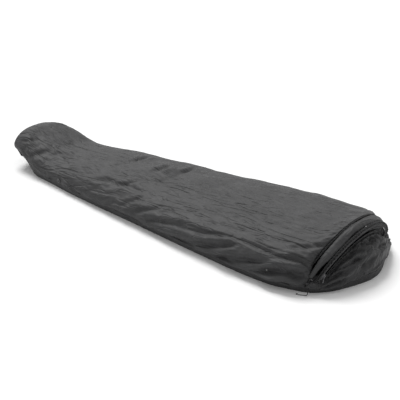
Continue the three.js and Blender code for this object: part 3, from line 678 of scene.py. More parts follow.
topShell = {
    "columns": 160,
    "rows": 72,
    "taper": 0.9,
    "thickness": 0.0012,
    "relief": 2.1,
    "cloth": {"stretch": 12.0, "bend": 0.6, "spare": 0.020, "pressure": 0.12, "gravity": 0.3,
              "frames": 12, "cap": 0.006},
    "grommet": {"x": -0.61, "girth": 0.273, "reach": 0.034},
    # long, soft folds: (line over the cloth as distance along and girth from the crown), width,
    # depth, lift of the roll beside it
    "creases": (
        (((-0.02, -0.334), (0.19, -0.321), (0.37, -0.305)), 0.011, 0.0045, 0.0025),
        (((0.22, -0.330), (0.40, -0.322), (0.57, -0.300)), 0.010, 0.0050, 0.0030),
        (((0.30, -0.379), (0.46, -0.362), (0.60, -0.330)), 0.011, 0.0060, 0.0035),
        (((0.44, -0.410), (0.62, -0.388), (0.77, -0.352)), 0.012, 0.0070, 0.0040),
        (((0.64, -0.416), (0.74, -0.399), (0.81, -0.384)), 0.009, 0.0050, 0.0030),
        (((0.70, -0.404), (0.85, -0.368), (0.93, -0.344)), 0.012, 0.0095, 0.0050),
        (((0.66, -0.432), (0.79, -0.432), (0.90, -0.400), (0.93, -0.360)), 0.008, 0.0090, 0.0045),
        (((0.76, -0.280), (0.86, -0.236), (0.96, -0.180)), 0.010, 0.0060, 0.0035),
        (((0.62, -0.170), (0.69, -0.125), (0.76, -0.110)), 0.010, 0.0030, 0.0020),
        (((0.86, 0.040), (0.92, -0.020), (0.97, -0.060)), 0.008, 0.0050, 0.0030),
        (((0.84, -0.060), (0.91, -0.060), (0.96, -0.070)), 0.008, 0.0050, 0.0035),
        (((0.80, 0.130), (0.88, 0.100), (0.95, 0.080)), 0.010, 0.0040, 0.0025),
        (((-0.15, -0.306), (-0.07, -0.263), (-0.02, -0.200)), 0.012, 0.0035, 0.0020),
        (((-0.06, -0.326), (0.05, -0.278), (0.12, -0.236)), 0.012, 0.0035, 0.0020),
        (((-0.30, -0.240), (-0.20, -0.180), (-0.14, -0.110)), 0.014, 0.0030, 0.0020),
        (((-0.17, -0.050), (-0.15, 0.030), (-0.17, 0.120)), 0.013, 0.0045, 0.0030),
        (((-0.37, 0.040), (-0.35, 0.110), (-0.36, 0.180)), 0.014, 0.0050, 0.0025),
        (((-0.07, 0.060), (-0.06, 0.130), (-0.08, 0.200)), 0.013, 0.0060, 0.0030),
        (((-0.46, -0.110), (-0.30, -0.060), (-0.22, -0.030)), 0.014, 0.0030, 0.0020),
        (((-0.44, -0.216), (-0.24, -0.187), (0.01, -0.212)), 0.013, 0.0030, 0.0025),
        (((-0.78, -0.150), (-0.70, -0.080), (-0.62, -0.040)), 0.015, 0.0030, 0.0020),
        (((-0.92, -0.240), (-0.84, -0.190), (-0.78, -0.110)), 0.014, 0.0035, 0.0020),
        (((0.12, 0.300), (0.30, 0.320), (0.52, 0.300)), 0.012, 0.0050, 0.0030),
        (((0.36, 0.370), (0.52, 0.350), (0.66, 0.310)), 0.011, 0.0060, 0.0035),
        (((0.60, 0.400), (0.76, 0.370), (0.88, 0.330)), 0.012, 0.0070, 0.0040),
        (((-0.62, 0.230), (-0.44, 0.250), (-0.26, 0.230)), 0.013, 0.0035, 0.0020),
        (((0.50, -0.300), (0.64, -0.320), (0.80, -0.318)), 0.010, 0.0050, 0.0030),
        (((0.72, -0.340), (0.83, -0.318), (0.94, -0.290)), 0.009, 0.0060, 0.0035),
        (((0.10, -0.372), (0.26, -0.380), (0.42, -0.398)), 0.009, 0.0040, 0.0025),
        (((-0.30, -0.318), (-0.12, -0.336), (0.06, -0.352)), 0.009, 0.0035, 0.0020),
        (((0.84, -0.180), (0.90, -0.150), (0.97, -0.130)), 0.008, 0.0045, 0.0030),
        (((-0.98, -0.180), (-0.93, -0.150), (-0.88, -0.090)), 0.010, 0.0035, 0.0020),
        (((-0.24, 0.290), (-0.10, 0.260), (0.02, 0.270)), 0.012, 0.0040, 0.0025),
    ),
    # long raised lines where the cloth is pulled tight
    "ridges": (
        (((-0.27, -0.16), (-0.20, 0.0), (-0.22, 0.16)), 0.085, -0.0120, 0.0),
        (((0.06, -0.14), (0.09, 0.0), (0.06, 0.14)), 0.080, -0.0100, 0.0),
        (((-0.05, -0.16), (-0.055, 0.0), (-0.06, 0.18)), 0.020, 0.0075, 0.0),
        (((-0.37, -0.10), (-0.36, 0.04), (-0.38, 0.16)), 0.024, 0.0060, 0.0),
        (((0.14, -0.226), (0.35, -0.150), (0.56, -0.220)), 0.010, -0.0030, 0.0),
        (((0.62, -0.256), (0.72, -0.224), (0.82, -0.208)), 0.009, -0.0030, 0.0),
        (((-0.55, 0.060), (-0.30, 0.010), (-0.05, 0.060)), 0.016, -0.0030, 0.0),
        (((0.20, 0.120), (0.42, 0.090), (0.66, 0.140)), 0.014, -0.0030, 0.0),
    ),
}


def shellEdge(angleShare):  # the mouth edge; -1 at the near seam, 0 at the crown, 1 at the far seam
    drop = smoothStep(0.62, 1, np.abs(angleShare))
    offset = mouth["shellEdgeOffset"] + 0.034 * drop
    radius = mouth["shellEdgeRadius"] - 0.007 * drop
    rise = (sack["seam"] + offset * math.sin(mouth["lean"])) / math.cos(mouth["lean"])
    last = np.arccos((rise - mouth["centre"]) / radius)
    return mouthPoint(offset, radius, angleShare * last)


def shellPlace(u, v):
    share = np.clip(u / topShell["taper"], 0, 1)
    points = bodyOutline(footX + (shoulderX - footX) * share, v)
    draw = np.clip((u - topShell["taper"]) / (1 - topShell["taper"]), 0, 1)[:, None]
    edge = shellEdge(2 * v - 1)
    ahead = points.copy()
    ahead[:, :1] += draw * (edge[:, :1] - shoulderX)
    toward = ahead.copy()
    toward[:, 1:] = edge[:, 1:]
    return ahead + (toward - ahead) * draw**2


def gatherHeight(u, around, reach, waves, depth, seed):
    # pleats that run in from a gathered edge at u = 1
    phase = noiseAt(around, around * 0, seed, 0.06, 1) * 5 + waves * 2 * math.pi * around
    length = reach * (1 + 0.9 * noiseAt(around, around * 0, seed + 3, 0.035, 1))
    fade = np.clip(1 - (1 - u) / np.maximum(length, 0.01), 0, 1) ** 1.6
    return depth * fade * (np.abs(np.cos(phase / 2)) * 2 - 1)


def slackHeight(x, a, seed):
    # crumpled slack, drawn out along the sack and strongest low on the flanks
    flank = smoothStep(0.12, 0.34, np.abs(a))
    length = noiseAt(x, a, seed, 0.24, 0.045, ridged=True)
    cross = noiseAt(x + 0.6 * a, a - 0.3 * x, seed + 7, 0.11, 0.040, ridged=True)
    broad = noiseAt(x, a, seed + 13, 0.30, 0.20)
    fine = noiseAt(x - 0.5 * a, a + 0.2 * x, seed + 19, 0.060, 0.022, ridged=True)
    patch = np.clip(0.6 + noiseAt(x, a, seed + 29, 0.25, 0.12), 0.1, 1)
    return (0.0040 * (0.45 + flank) * length * patch + 0.0026 * cross * patch
            + 0.0048 * broad + 0.0013 * fine * patch)


def aroundGrommet(x, a):  # 0 where the cloth is held flat by the grommets, 1 away from them
    place = topShell["grommet"]
    gap = np.hypot(x - place["x"], np.abs(a) - place["girth"])
    return smoothStep(0.5 * place["reach"], 1.4 * place["reach"], gap)


def makeTopShell():
    shape = (topShell["columns"] + 1, topShell["rows"] + 1)
    shell = layGrid("topShell", topShell["columns"], topShell["rows"], shellPlace)
    points = readPoints(shell)
    order = np.lexsort((np.round(vertexUv(shell)[:, 1] * topShell["rows"]),
                        np.round(vertexUv(shell)[:, 0] * topShell["columns"])))
    grid = points[order].reshape(*shape, 3)
    girth = np.concatenate([np.zeros((shape[0], 1)), np.cumsum(
        np.linalg.norm(np.diff(grid, axis=1), axis=2), axis=1)], axis=1)
    girth -= girth[:, topShell["rows"] // 2][:, None]
    flat = np.zeros((len(points), 2))
    flat[order] = np.stack([grid[..., 0].ravel(), girth.ravel()], 1)
    share = vertexUv(shell)
    setVertexUv(shell, flat)
    x, a = flat.T
    u, v = share.T
    edges = smoothStep(0, 0.03, u) * smoothStep(0, 0.02, 1 - u)
    edges = edges * smoothStep(0, 0.05, np.minimum(v, 1 - v))
    height = topShell["relief"] * creaseHeight(x, a, topShell["creases"])
    height = (height + creaseHeight(x, a, topShell["ridges"]) + slackHeight(x, a, 2.0)) * edges
    height *= aroundGrommet(x, a)
    height += gatherHeight(u, v, 0.055, 34, 0.0035, 5.0) * smoothStep(0, 0.012, 1 - u)
    pushOut(shell, height)
    free = smoothStep(0.0, 0.06, np.minimum.reduce([u, 1 - u, v, 1 - v])) * aroundGrommet(x, a)
    settle(shell, topShell["cloth"], 1 - free)
    subdivide(shell)
    x, a = vertexUv(shell).T
    pushOut(shell, 0.0008 * noiseAt(x, a, 41.0, 0.05, 0.016, ridged=True) * aroundGrommet(x, a))
    roundToe(shell)
    thicken(shell, topShell["thickness"])
    giveMaterial(shell, shellCloth)
    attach(shell, "sack")
    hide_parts("top_shell")
    return shell


shell = makeTopShell()
print("top shell done")


# floor: a shallow tub, turned up all round to the seam

tub = {
    "columns": 300,
    "rows": 30,
    "wallRows": 0.3,
    "thickness": 0.0012,
    "centreEnd": 0.86,
    "seamGap": 0.0006,
}


def headWidth(x):
    return readTable(sack["headPlan"], np.minimum(x, sack["headPlan"][-1][0]))[0]


def sideWidth(x, z):  # half width of the tub's wall at height z
    halfWidth, height = readTable(sack["stations"], np.minimum(x, shoulderX))
    belly = sack["belly"] * height
    undercut = sack["undercut"] + sack["footUndercut"] * footShare(x)
    flank = halfWidth * (1 - undercut * (1 - z / belly) ** 2)
    head = headWidth(np.maximum(x, shoulderX)) * (1 - sack["headDraw"] * (1 - z / sack["seam"]))
    blendIn = smoothStep(shoulderX - 0.05, shoulderX + 0.03, x)
    return flank * (1 - blendIn) + head * blendIn


def rimPlan():  # the seam's line on the ground plan, from the near foot corner round the head
    flank = np.linspace(footX, 0.95, 160)
    near = np.stack([flank, -sideWidth(flank, sack["seam"]), flank * 0], 1)
    tip = [(x, -w, 0) for x, w in sack["headPlan"][3:]]
    tip += [(1.050, 0.0, 0.0)] + [(x, w, 0) for x, w in reversed(sack["headPlan"][3:])]
    far = near[::-1] * (1, -1, 1)
    return smoothLine(np.concatenate([near[::4], tip, far[::4]]), tub["columns"] + 1)


rim = rimPlan()


def tubPlace(u, v):
    i = np.clip(np.rint(u * tub["columns"]).astype(int), 0, tub["columns"])
    edge = rim[i]
    top = sack["seam"] - tub["seamGap"]
    wall = np.clip(v / tub["wallRows"], 0, 1)
    z = top * (1 - wall) ** 1.15
    inward = np.where(edge[:, 0] < shoulderX,
                      sideWidth(edge[:, 0], z) / sideWidth(edge[:, 0], top + 0 * z),
                      1 - sack["headDraw"] * wall)
    lean = sack["footLean"] * footShare(edge[:, 0]) * z
    centre = np.clip(edge[:, 0], footX, tub["centreEnd"])
    foot = np.stack([edge[:, 0] - lean, edge[:, 1] * inward, z], 1)
    base = np.stack([centre, edge[:, 1] * 0, edge[:, 1] * 0], 1)
    share = np.clip((v - tub["wallRows"]) / (1 - tub["wallRows"]), 0, 1)[:, None]
    points = foot * (1 - share) + base * share
    head = np.clip((edge[:, 0] - shoulderX) / 0.1, 0, 1) * (1 - wall) * wall * 4
    points[:, 0] -= 0.004 * head * np.abs(np.sin(u * 260))
    return points


def makeTub():
    floor = layGrid("tubFloor", tub["columns"], tub["rows"], tubPlace, (4.6, 0.4))
    x, y = readPoints(floor)[:, 0], readPoints(floor)[:, 1]
    z = readPoints(floor)[:, 2]
    points = readPoints(floor)
    wallShare = np.clip(z / sack["seam"], 0, 1) * (1 - np.clip(z / sack["seam"], 0, 1)) * 4
    ripple = 0.0025 * noiseAt(x, y, 61.0, 0.09, 0.09) * wallShare
    points[:, 1] += np.sign(y) * ripple
    writePoints(floor, points)
    weldDoubles(floor, 1e-5)
    fixOutward(floor, down=True)
    roundToe(floor)
    thicken(floor, tub["thickness"])
    giveMaterial(floor, floorCloth)
    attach(floor, "sack")
    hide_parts("floor_panel", "floor_side_near", "floor_side_far",
                "floor_head_near", "floor_head_far")
    return floor


def fixOutward(obj, down):  # turns an open sheet so that its lowest faces look down (or up)
    lowest = min(obj.data.polygons, key=lambda p: p.center.z)
    if (lowest.normal.z > 0) == down:
        turnOver(obj)


floor = makeTub()
print("floor done")


# foot panel: the domed oval end of the toe box

toeEnd = {
    "columns": 96,
    "rows": 18,
    "dome": 0.040,
    "middle": 0.45,
    "thickness": 0.0012,
}


def toePlace(u, v):
    ring = bodyOutline(np.full(len(u), footX), u)
    base = 0.004
    y, z = ring[:, 1], ring[:, 2]
    halfWidth, height = readTable(sack["stations"], footX)
    z = base + (z - sack["seam"]) * (height - base) / (height - sack["seam"])
    middle = height * toeEnd["middle"]
    share = 1 - v
    rise = middle + (z - middle) * share
    out = toeEnd["dome"] * (1 - share**2.2) * (0.25 + 1.0 * rise / height)
    pucker = 0.0022 * np.sin(u * 2 * math.pi * 46) * smoothStep(0.6, 1, share)
    return np.stack([footX - sack["footLean"] * rise - out + pucker, y * share, rise], 1)


def makeToeEnd():
    # the outline closes along the floor, so its straight lower edge is one more side of the ring
    def place(u, v):
        turned = np.clip(u / 0.82, 0, 1)
        points = toePlace(turned, v)
        start, stop = toePlace(np.ones(len(u)), v), toePlace(np.zeros(len(u)), v)
        floorShare = np.clip((u - 0.82) / 0.18, 0, 1)[:, None]
        return np.where(u[:, None] > 0.82, start + (stop - start) * floorShare, points)

    panel = layGrid("toePanel", toeEnd["columns"], toeEnd["rows"], place, (0.9, 0.12))
    weldDoubles(panel, 1e-5)
    nearest = min(panel.data.polygons, key=lambda p: p.center.x)
    if nearest.normal.x > 0:
        turnOver(panel)
    points = readPoints(panel)
    pushOut(panel, 0.003 * noiseAt(points[:, 1], points[:, 2], 71.0, 0.07, 0.05)
            * smoothStep(0, 0.02, -(points[:, 0] - footX)))
    roundToe(panel)
    thicken(panel, toeEnd["thickness"])
    giveMaterial(panel, shellCloth)
    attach(panel, "sack")
    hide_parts("foot_panel")
    return panel


toePanel = makeToeEnd()
print("foot panel done")


# hood: from its half of the zip out and down to the seam, closed at the corners of the mouth

hood = {
    "columns": 150,
    "rows": 44,
    "bulge": 0.026,
    "farBulge": 0.014,
    "corner": 0.13,  # share of the hood on each side that lies below the end of the zip
    "cornerTop": ((0.902, 0.302, 0.032), (0.909, 0.294, 0.046), (0.924, 0.276, 0.053),
                  (0.938, 0.250, 0.055)),
    "cornerRim": ((0.900, 0.306, 0.0284), (0.930, 0.287, 0.0284), (0.952, 0.264, 0.0284)),
    "thickness": 0.0012,
    "flatCloth": (0.95, 0.17),  # metres round and down, for the cloth's own map
    "cloth": {"stretch": 10.0, "bend": 0.3, "spare": 0.035, "pressure": 0.3, "gravity": 0.6,
              "frames": 14, "cap": 0.010},
    # folds: (share round the hood, share from the zip down to the seam)
    "relief": 1.35,
    "creases": (
        (((0.14, 0.40), (0.22, 0.46), (0.34, 0.52)), 0.012, 0.0090, 0.0050),
        (((0.20, 0.30), (0.30, 0.36), (0.42, 0.44)), 0.011, 0.0090, 0.0050),
        (((0.10, 0.70), (0.18, 0.72), (0.27, 0.78)), 0.011, 0.0070, 0.0040),
        (((0.26, 0.06), (0.29, 0.16), (0.34, 0.22)), 0.010, 0.0060, 0.0040),
        (((0.36, 0.05), (0.38, 0.18), (0.44, 0.28)), 0.010, 0.0060, 0.0040),
        (((0.47, 0.04), (0.48, 0.16), (0.52, 0.26)), 0.010, 0.0060, 0.0040),
        (((0.34, 0.66), (0.42, 0.62), (0.50, 0.64)), 0.013, 0.0070, 0.0040),
        (((0.52, 0.50), (0.60, 0.44), (0.68, 0.46)), 0.013, 0.0070, 0.0040),
        (((0.60, 0.08), (0.63, 0.20), (0.70, 0.30)), 0.010, 0.0060, 0.0040),
        (((0.72, 0.62), (0.80, 0.56), (0.88, 0.52)), 0.012, 0.0080, 0.0045),
        (((0.76, 0.34), (0.84, 0.36), (0.92, 0.44)), 0.011, 0.0080, 0.0045),
    ),
}


def hoodLines():  # the top edge and the rim, each from the near corner to the far one
    steps = hood["columns"]
    low = int(round(hood["corner"] * steps))
    flip = np.array((1, -1, 1))
    radius = mouth["hoodZipRadius"] - mouth["coilRadius"] - 0.0156
    angles = np.linspace(-mouth["hoodSpan"], mouth["hoodSpan"], steps + 1 - 2 * low)
    arc = mouthPoint(0.0, radius, angles)
    cornerTop = [flip * p for p in np.array(hood["cornerTop"])]
    nearTop = smoothLine([*cornerTop, arc[0]], low + 1)[:-1]
    top = np.concatenate([nearTop, arc, (nearTop * flip)[::-1]])
    tip = [np.array((x, -w, 0.0284)) for x, w in sack["headPlan"][3:]]
    cornerRim = [flip * p for p in np.array(hood["cornerRim"])]
    nearRim = smoothLine([*cornerRim, tip[0]], low + 1)[:-1]
    head = smoothLine([*tip, *[p * flip for p in reversed(tip)]], steps + 1 - 2 * low)
    foot = np.concatenate([nearRim, head, (nearRim * flip)[::-1]])
    return top, foot


hoodTop, hoodRim = hoodLines()


def hoodPlace(u, v):
    i = np.clip(np.rint(u * hood["columns"]).astype(int), 0, hood["columns"])
    top, foot = hoodTop[i], hoodRim[i]
    outward = foot - (shoulderX, 0, 0)
    outward[:, 2] = 0
    outward /= np.linalg.norm(outward, axis=1, keepdims=True)
    farShare = smoothStep(0.5, 0.8, u) * (1 - smoothStep(0.85, 1, u))
    crest = foot + outward * (hood["bulge"] + hood["farBulge"] * farShare)[:, None]
    crest[:, 2] = top[:, 2]
    v = v[:, None]
    return (1 - v) ** 2 * top + 2 * v * (1 - v) * crest + v**2 * foot


def makeHood():
    piece = layGrid("hoodCloth", hood["columns"], hood["rows"], hoodPlace)
    share = vertexUv(piece)
    u, v = share.T
    wide, tall = hood["flatCloth"]
    around, down = u * wide, v * tall
    points = readPoints(piece)
    edges = smoothStep(0, 0.08, np.minimum(v, 1 - v)) * smoothStep(0, 0.05, np.minimum(u, 1 - u))
    lines = [([(a * wide, b * tall) for a, b in line], *rest) for line, *rest in hood["creases"]]
    height = hood["relief"] * creaseHeight(around, down, lines)
    height += 0.0050 * noiseAt(around, down, 83.0, 0.10, 0.05, ridged=True)
    height += 0.0028 * noiseAt(around + down, down - around * 0.3, 87.0, 0.05, 0.022, ridged=True)
    height += 0.006 * noiseAt(around, down, 91.0, 0.16, 0.10)
    pushOut(piece, height * edges * outwardSign(piece, points))
    setVertexUv(piece, np.stack([around, down], 1))
    fixHoodSide(piece)
    settle(piece, hood["cloth"], 1 - smoothStep(0.0, 0.1, np.minimum.reduce([v, 1 - v, u, 1 - u])))
    subdivide(piece)
    uv = vertexUv(piece).T
    pushOut(piece, 0.0006 * noiseAt(uv[0], uv[1], 97.0, 0.03, 0.015, ridged=True))
    thicken(piece, hood["thickness"])
    giveMaterial(piece, hoodCloth)
    return piece


def outwardSign(piece, points):  # 1 where the sheet's normals look up and out, -1 otherwise
    middle = np.argmax(points[:, 2])
    return 1.0 if piece.data.vertices[int(middle)].normal.z > 0 else -1.0


def fixHoodSide(piece):
    if outwardSign(piece, readPoints(piece)) < 0:
        turnOver(piece)


hoodPiece = makeHood()
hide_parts("hood_shell")
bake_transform(hoodPiece)
print("hood done")


# corner gussets: small folded cloths that close the mouth below each end of the zip

gusset = {"steps": 28, "rows": 10, "shellShare": 0.17, "sag": 0.006, "thickness": 0.001}


def makeGusset(name, side):
    cornerSteps = int(round(hood["corner"] * hood["columns"]))

    def place(u, v):
        back = shellEdge(side * (1 - gusset["shellShare"] * u))
        back[:, 0] += 0.002
        index = np.rint(u * cornerSteps).astype(int)
        line = hoodTop if side < 0 else hoodTop[::-1]
        front = line[index] - (0, 0, 0.0015)
        points = back * (1 - v[:, None]) + front * v[:, None]
        sag = gusset["sag"] * np.sin(math.pi * v) * smoothStep(0, 0.3, u)
        pleat = 0.003 * np.sin(v * 3 * math.pi + u * 4) * smoothStep(0.1, 0.5, u)
        points[:, 2] += pleat - sag
        return points

    piece = layGrid(name, gusset["steps"], gusset["rows"], place, (0.12, 0.05))
    thicken(piece, gusset["thickness"])
    giveMaterial(piece, hoodCloth)
    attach(piece, "sack")
    return piece


makeGusset("mouthGussetNear", -1)
makeGusset("mouthGussetFar", 1)
print("corner gussets done")


# storm collar: a stuffed, gathered roll along the shell's edge, thinner toward its ends

collar = {
    "span": math.radians(58),
    "columns": 220,
    "sides": 24,
    "halfWidth": 0.0205,
    "halfLoft": 0.0115,
    "endShare": 0.42,
    "pleats": 260,
    "pleatDepth": 0.0016,
    "lumpHeight": 0.0022,
    "channelDepth": 0.0022,
}


def arcPoint(offset, out, angle, radius):
    return mouthPoint(offset, radius + out, angle)


def collarPlace(u, v):
    angle = (2 * u - 1) * collar["span"]
    ends = smoothStep(0, 0.24, u) * smoothStep(0, 0.24, 1 - u)
    size = collar["endShare"] + (1 - collar["endShare"]) * ends
    closing = np.sqrt(np.clip(1 - (np.abs(2 * u - 1)) ** 60, 0, 1)) * 0.9 + 0.1
    turn = 2 * math.pi * v
    around = collar["halfWidth"] * size * closing
    loft = collar["halfLoft"] * (0.6 + 0.4 * size) * closing
    # gathers: short pleats that press in across the roll, none quite alike
    arc = angle * mouth["collarRadius"]
    phase = collar["pleats"] * arc + 3.0 * noiseAt(arc, arc * 0, 103.0, 0.05, 1)
    depth = 0.5 + 0.5 * noiseAt(arc, arc * 0, 107.0, 0.03, 1)
    gather = -collar["pleatDepth"] * depth * np.abs(np.sin(phase / 2)) ** 0.7
    lump = collar["lumpHeight"] * noiseAt(arc, np.cos(turn) * 0.01, 111.0, 0.07, 0.02)
    # the cord channel's stitching
    channel = -collar["channelDepth"] * np.exp(-((np.cos(turn) - 0.42) / 0.09) ** 2)
    reach = 1 + (gather + lump + channel) / collar["halfLoft"]
    sway = 0.0025 * noiseAt(arc, arc * 0, 115.0, 0.12, 1)
    return arcPoint(mouth["collarOffset"] + sway + around * reach * np.cos(turn),
                    loft * reach * np.sin(turn), angle, mouth["collarRadius"])


def makeCollar():
    piece = layGrid("stormCollar", collar["columns"], collar["sides"], collarPlace, (0.69, 0.105))
    weldDoubles(piece)
    closeEnds(piece)
    points = readPoints(piece)
    pushOut(piece, 0.0005 * noiseAt(points[:, 0] + points[:, 2], points[:, 1], 119.0, 0.02, 0.006,
                                    ridged=True))
    piece.data.shade_smooth()
    giveMaterial(piece, shellCloth)
    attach(piece, "sack")
    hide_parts("storm_collar")
    return piece


makeCollar()
print("storm collar done")


# draft flap: a plain strip that hangs behind the open half of the zip and shuts the slot

flap = {"columns": 120, "rows": 8, "span": math.radians(57), "outer": 0.3215, "inner": 0.284,
        "start": -0.004, "end": -0.017, "thickness": 0.001}


def makeFlap():
    def place(u, v):
        angle = (2 * u - 1) * flap["span"]
        wave = 0.0015 * noiseAt(u, v * 0.2, 131.0, 0.05, 0.1) * v
        radius = flap["outer"] + (flap["inner"] - flap["outer"]) * v
        return mouthPoint(flap["start"] + (flap["end"] - flap["start"]) * v + wave, radius, angle)

    piece = layGrid("draftFlap", flap["columns"], flap["rows"], place, (0.62, 0.04))
    thicken(piece, flap["thickness"])
    giveMaterial(piece, hoodCloth)
    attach(piece, "sack")
    return piece


makeFlap()
print("draft flap done")


# black tapes that run along the mouth's arc; each has a flat, slightly rippled section

tapes = {
    "collarBindingRear": {
        "replaces": "collar_binding_rear", "slot": "binding_tape", "body": "sack",
        "radius": 0.340, "span": math.radians(61),
        "offset": (-0.0605, -0.0545), "out": (-0.001, 0.0065),
        "ripple": (0.0016, 0.0018), "ripples": 46, "steps": 300, "endShare": 0.5,
    },
    "collarBindingFront": {
        "replaces": "collar_binding_front", "slot": "binding_tape", "body": "sack",
        "radius": 0.338, "span": math.radians(59),
        "offset": (-0.0120, -0.0020), "out": (-0.0055, 0.0045),
        "ripple": (0.0012, 0.0016), "ripples": 52, "steps": 300, "endShare": 0.6,
    },
    "zipTapeUpper": {
        "replaces": "zip_tape_upper", "slot": "zip_tape", "body": "sack",
        "radius": 0.320, "span": math.radians(56),
        "offset": (-0.0006, 0.0006), "out": (0.0021, 0.0235),
        "ripple": (0.0032, 0.0010), "ripples": 38, "steps": 300, "endShare": 1.0,
    },
    "zipTapeLower": {
        "replaces": "zip_tape_lower", "slot": "zip_tape", "body": "hood",
        "radius": 0.300, "span": math.radians(53),
        "offset": (-0.0006, 0.0006), "out": (-0.0021, -0.0180),
        "ripple": (0.0040, 0.0012), "ripples": 34, "steps": 300, "endShare": 1.0,
    },
}


def makeTape(name, tape, material):
    sides = 16
    low, high = tape["offset"]
    inner, outer = tape["out"]

    def place(u, v):
        angle = (2 * u - 1) * tape["span"]
        turn = 2 * math.pi * v
        ends = smoothStep(0, 0.2, u) * smoothStep(0, 0.2, 1 - u)
        size = tape["endShare"] + (1 - tape["endShare"]) * ends
        # a squared oval section
        square = [np.sign(f) * np.abs(f) ** 0.45 for f in (np.cos(turn), np.sin(turn))]
        share = 0.5 + 0.5 * square[1] * size
        arc = angle * tape["radius"]
        wave = np.sin(2 * math.pi * tape["ripples"] * u + 4 * noiseAt(arc, arc * 0, 131.0, 0.07, 1))
        wave *= 0.6 + 0.8 * noiseAt(arc, arc * 0, 137.0, 0.05, 1)
        free = share ** 1.5
        offset = (low + high) / 2 + square[0] * (high - low) / 2 * size
        offset += tape["ripple"][0] * wave * free
        out = inner + (outer - inner) * share + tape["ripple"][1] * np.roll(wave, 3) * free
        return arcPoint(offset, out, angle, tape["radius"])

    length = 2 * tape["span"] * tape["radius"]
    width = 2 * (abs(high - low) + abs(outer - inner))
    piece = layGrid(name, tape["steps"], sides, place, (length, width))
    weldDoubles(piece)
    closeEnds(piece)
    giveMaterial(piece, material)
    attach(piece, tape["body"])
    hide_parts(tape["replaces"])
    return piece


for tapeName, tape in tapes.items():
    makeTape(tapeName, tape, bindingTape if tape["slot"] == "binding_tape" else zipTape)
print("tapes done")


# zip coils: two nylon spirals, the shell's and the hood's

coil = {"pitch": 0.0019, "wire": 0.00042, "turnSteps": 8, "wireSides": 4}


def makeCoil(name, radius, span, toward, node, body):
    reach = mouth["coilRadius"] - coil["wire"]
    turns = int(2 * span * radius / coil["pitch"])
    steps = turns * coil["turnSteps"]
    share = np.linspace(0, 1, steps + 1)
    angle = (2 * share - 1) * span
    turn = share * turns * 2 * math.pi
    # each loop is flattened, with its head toward the other half of the zip
    offset = reach * 0.85 * np.cos(turn)
    out = reach * np.sin(turn) + toward * reach * 0.25 * np.abs(np.sin(turn))
    line = mouthPoint(offset, radius + out, angle)
    piece = layTube(name, line, coil["wire"], coil["wireSides"])
    giveMaterial(piece, nylonCoil)
    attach(piece, body)
    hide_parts(node)
    return piece


makeCoil("zipCoilUpper", mouth["zipRadius"], mouth["zipSpan"], -1, "zip_coil_upper", "sack")
makeCoil("zipCoilLower", mouth["hoodZipRadius"], mouth["hoodSpan"], 1, "zip_coil_lower", "hood")
print("zip coils done")


# drawcord: its free end, out of the collar, through the lock and back along the flank

drawcord = {
    "route": (
        (0.9156, -0.2912, 0.0550), (0.9160, -0.2940, 0.0500), (0.9175, -0.30225, 0.0350),
        (0.9190, -0.3105, 0.0200), (0.9200, -0.3160, 0.0100), (0.9190, -0.3186, 0.0050),
        (0.9140, -0.3215, 0.0020), (0.9060, -0.3245, 0.0016), (0.8960, -0.3290, 0.0016),
        (0.8860, -0.3340, 0.0016),
    ),
    "diameter": 0.003,
    "steps": 90,
    "knotRadius": 0.0042,
}


def makeDrawcord():
    line = smoothLine(drawcord["route"], drawcord["steps"])
    radius = drawcord["diameter"] / 2
    piece = layTube("drawcordTail", line, radius, 14)
    giveMaterial(piece, cordBraid)
    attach(piece, "sack")
    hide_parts("drawcord_tail")
    length = np.linalg.norm(np.diff(line, axis=0), axis=1).sum()
    return piece, line, length


def makeKnot(line):  # an overhand knot, pulled tight
    heading = line[-1] - line[-4]
    heading /= np.linalg.norm(heading)
    centre = line[-1] + heading * 0.0040
    centre[2] = drawcord["knotRadius"]
    turn = np.linspace(0, 2 * math.pi, 73)
    loop = np.stack([np.sin(turn) + 2 * np.sin(2 * turn),
                     np.cos(turn) - 2 * np.cos(2 * turn),
                     -np.sin(3 * turn)], 1)
    rope = 0.00135
    reach = drawcord["knotRadius"] - rope
    loop = loop / 3.0 * reach
    piece = layTube("cordKnot", loop[:-1] + centre, rope, 12)
    giveMaterial(piece, cordBraid)
    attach(piece, "sack")
    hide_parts("cord_knot")
    return piece


cordTail, cordLine, cordLength = makeDrawcord()
cordKnot = makeKnot(cordLine)
print("drawcord length", round(cordLength, 4))


# hard parts keep their own shape; a fine bevel takes the sharp edges off

hardParts = {
    "zip_slider": (darkMetal, 0.0005), "zip_puller": (darkMetal, 0.00035),
    "zip_stop_near": (darkMetal, 0.0003), "zip_stop_far": (darkMetal, 0.0003),
    "drawcord_eyelet": (darkMetal, 0.0004), "grommet_washer_near": (darkMetal, 0.0003),
    "grommet_washer_far": (darkMetal, 0.0003), "cord_lock_body": (blackPlastic, 0.0006),
    "cord_lock_plunger": (blackPlastic, 0.0005), "cord_lock_spring": (springSteel, 0.0),
    "grommet_near": (blackPlastic, 0.0009), "grommet_far": (blackPlastic, 0.0009),
    "drawcord_run": (cordBraid, 0.0),
    "care_label": (labelCloth, 0.0),
}


def dressPart(name, material, bevel):
    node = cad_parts[name]
    giveMaterial(node, material)
    if bevel > 0:
        modifier = node.modifiers.new("edgeBevel", "BEVEL")
        modifier.width = bevel
        modifier.segments = 2
        modifier.limit_method = "ANGLE"
        modifier.angle_limit = math.radians(40)
        modifier.harden_normals = False


for partName, (partMaterial, partBevel) in hardParts.items():
    dressPart(partName, partMaterial, partBevel)
print("hard parts dressed")


# seams: a rolled welt along the floor's seam, and rows of stitches

stitching = {
    "length": 0.0032, "gap": 0.0014, "thickness": 0.0005, "width": 0.0007,
    "weltRadius": 0.0016,
}


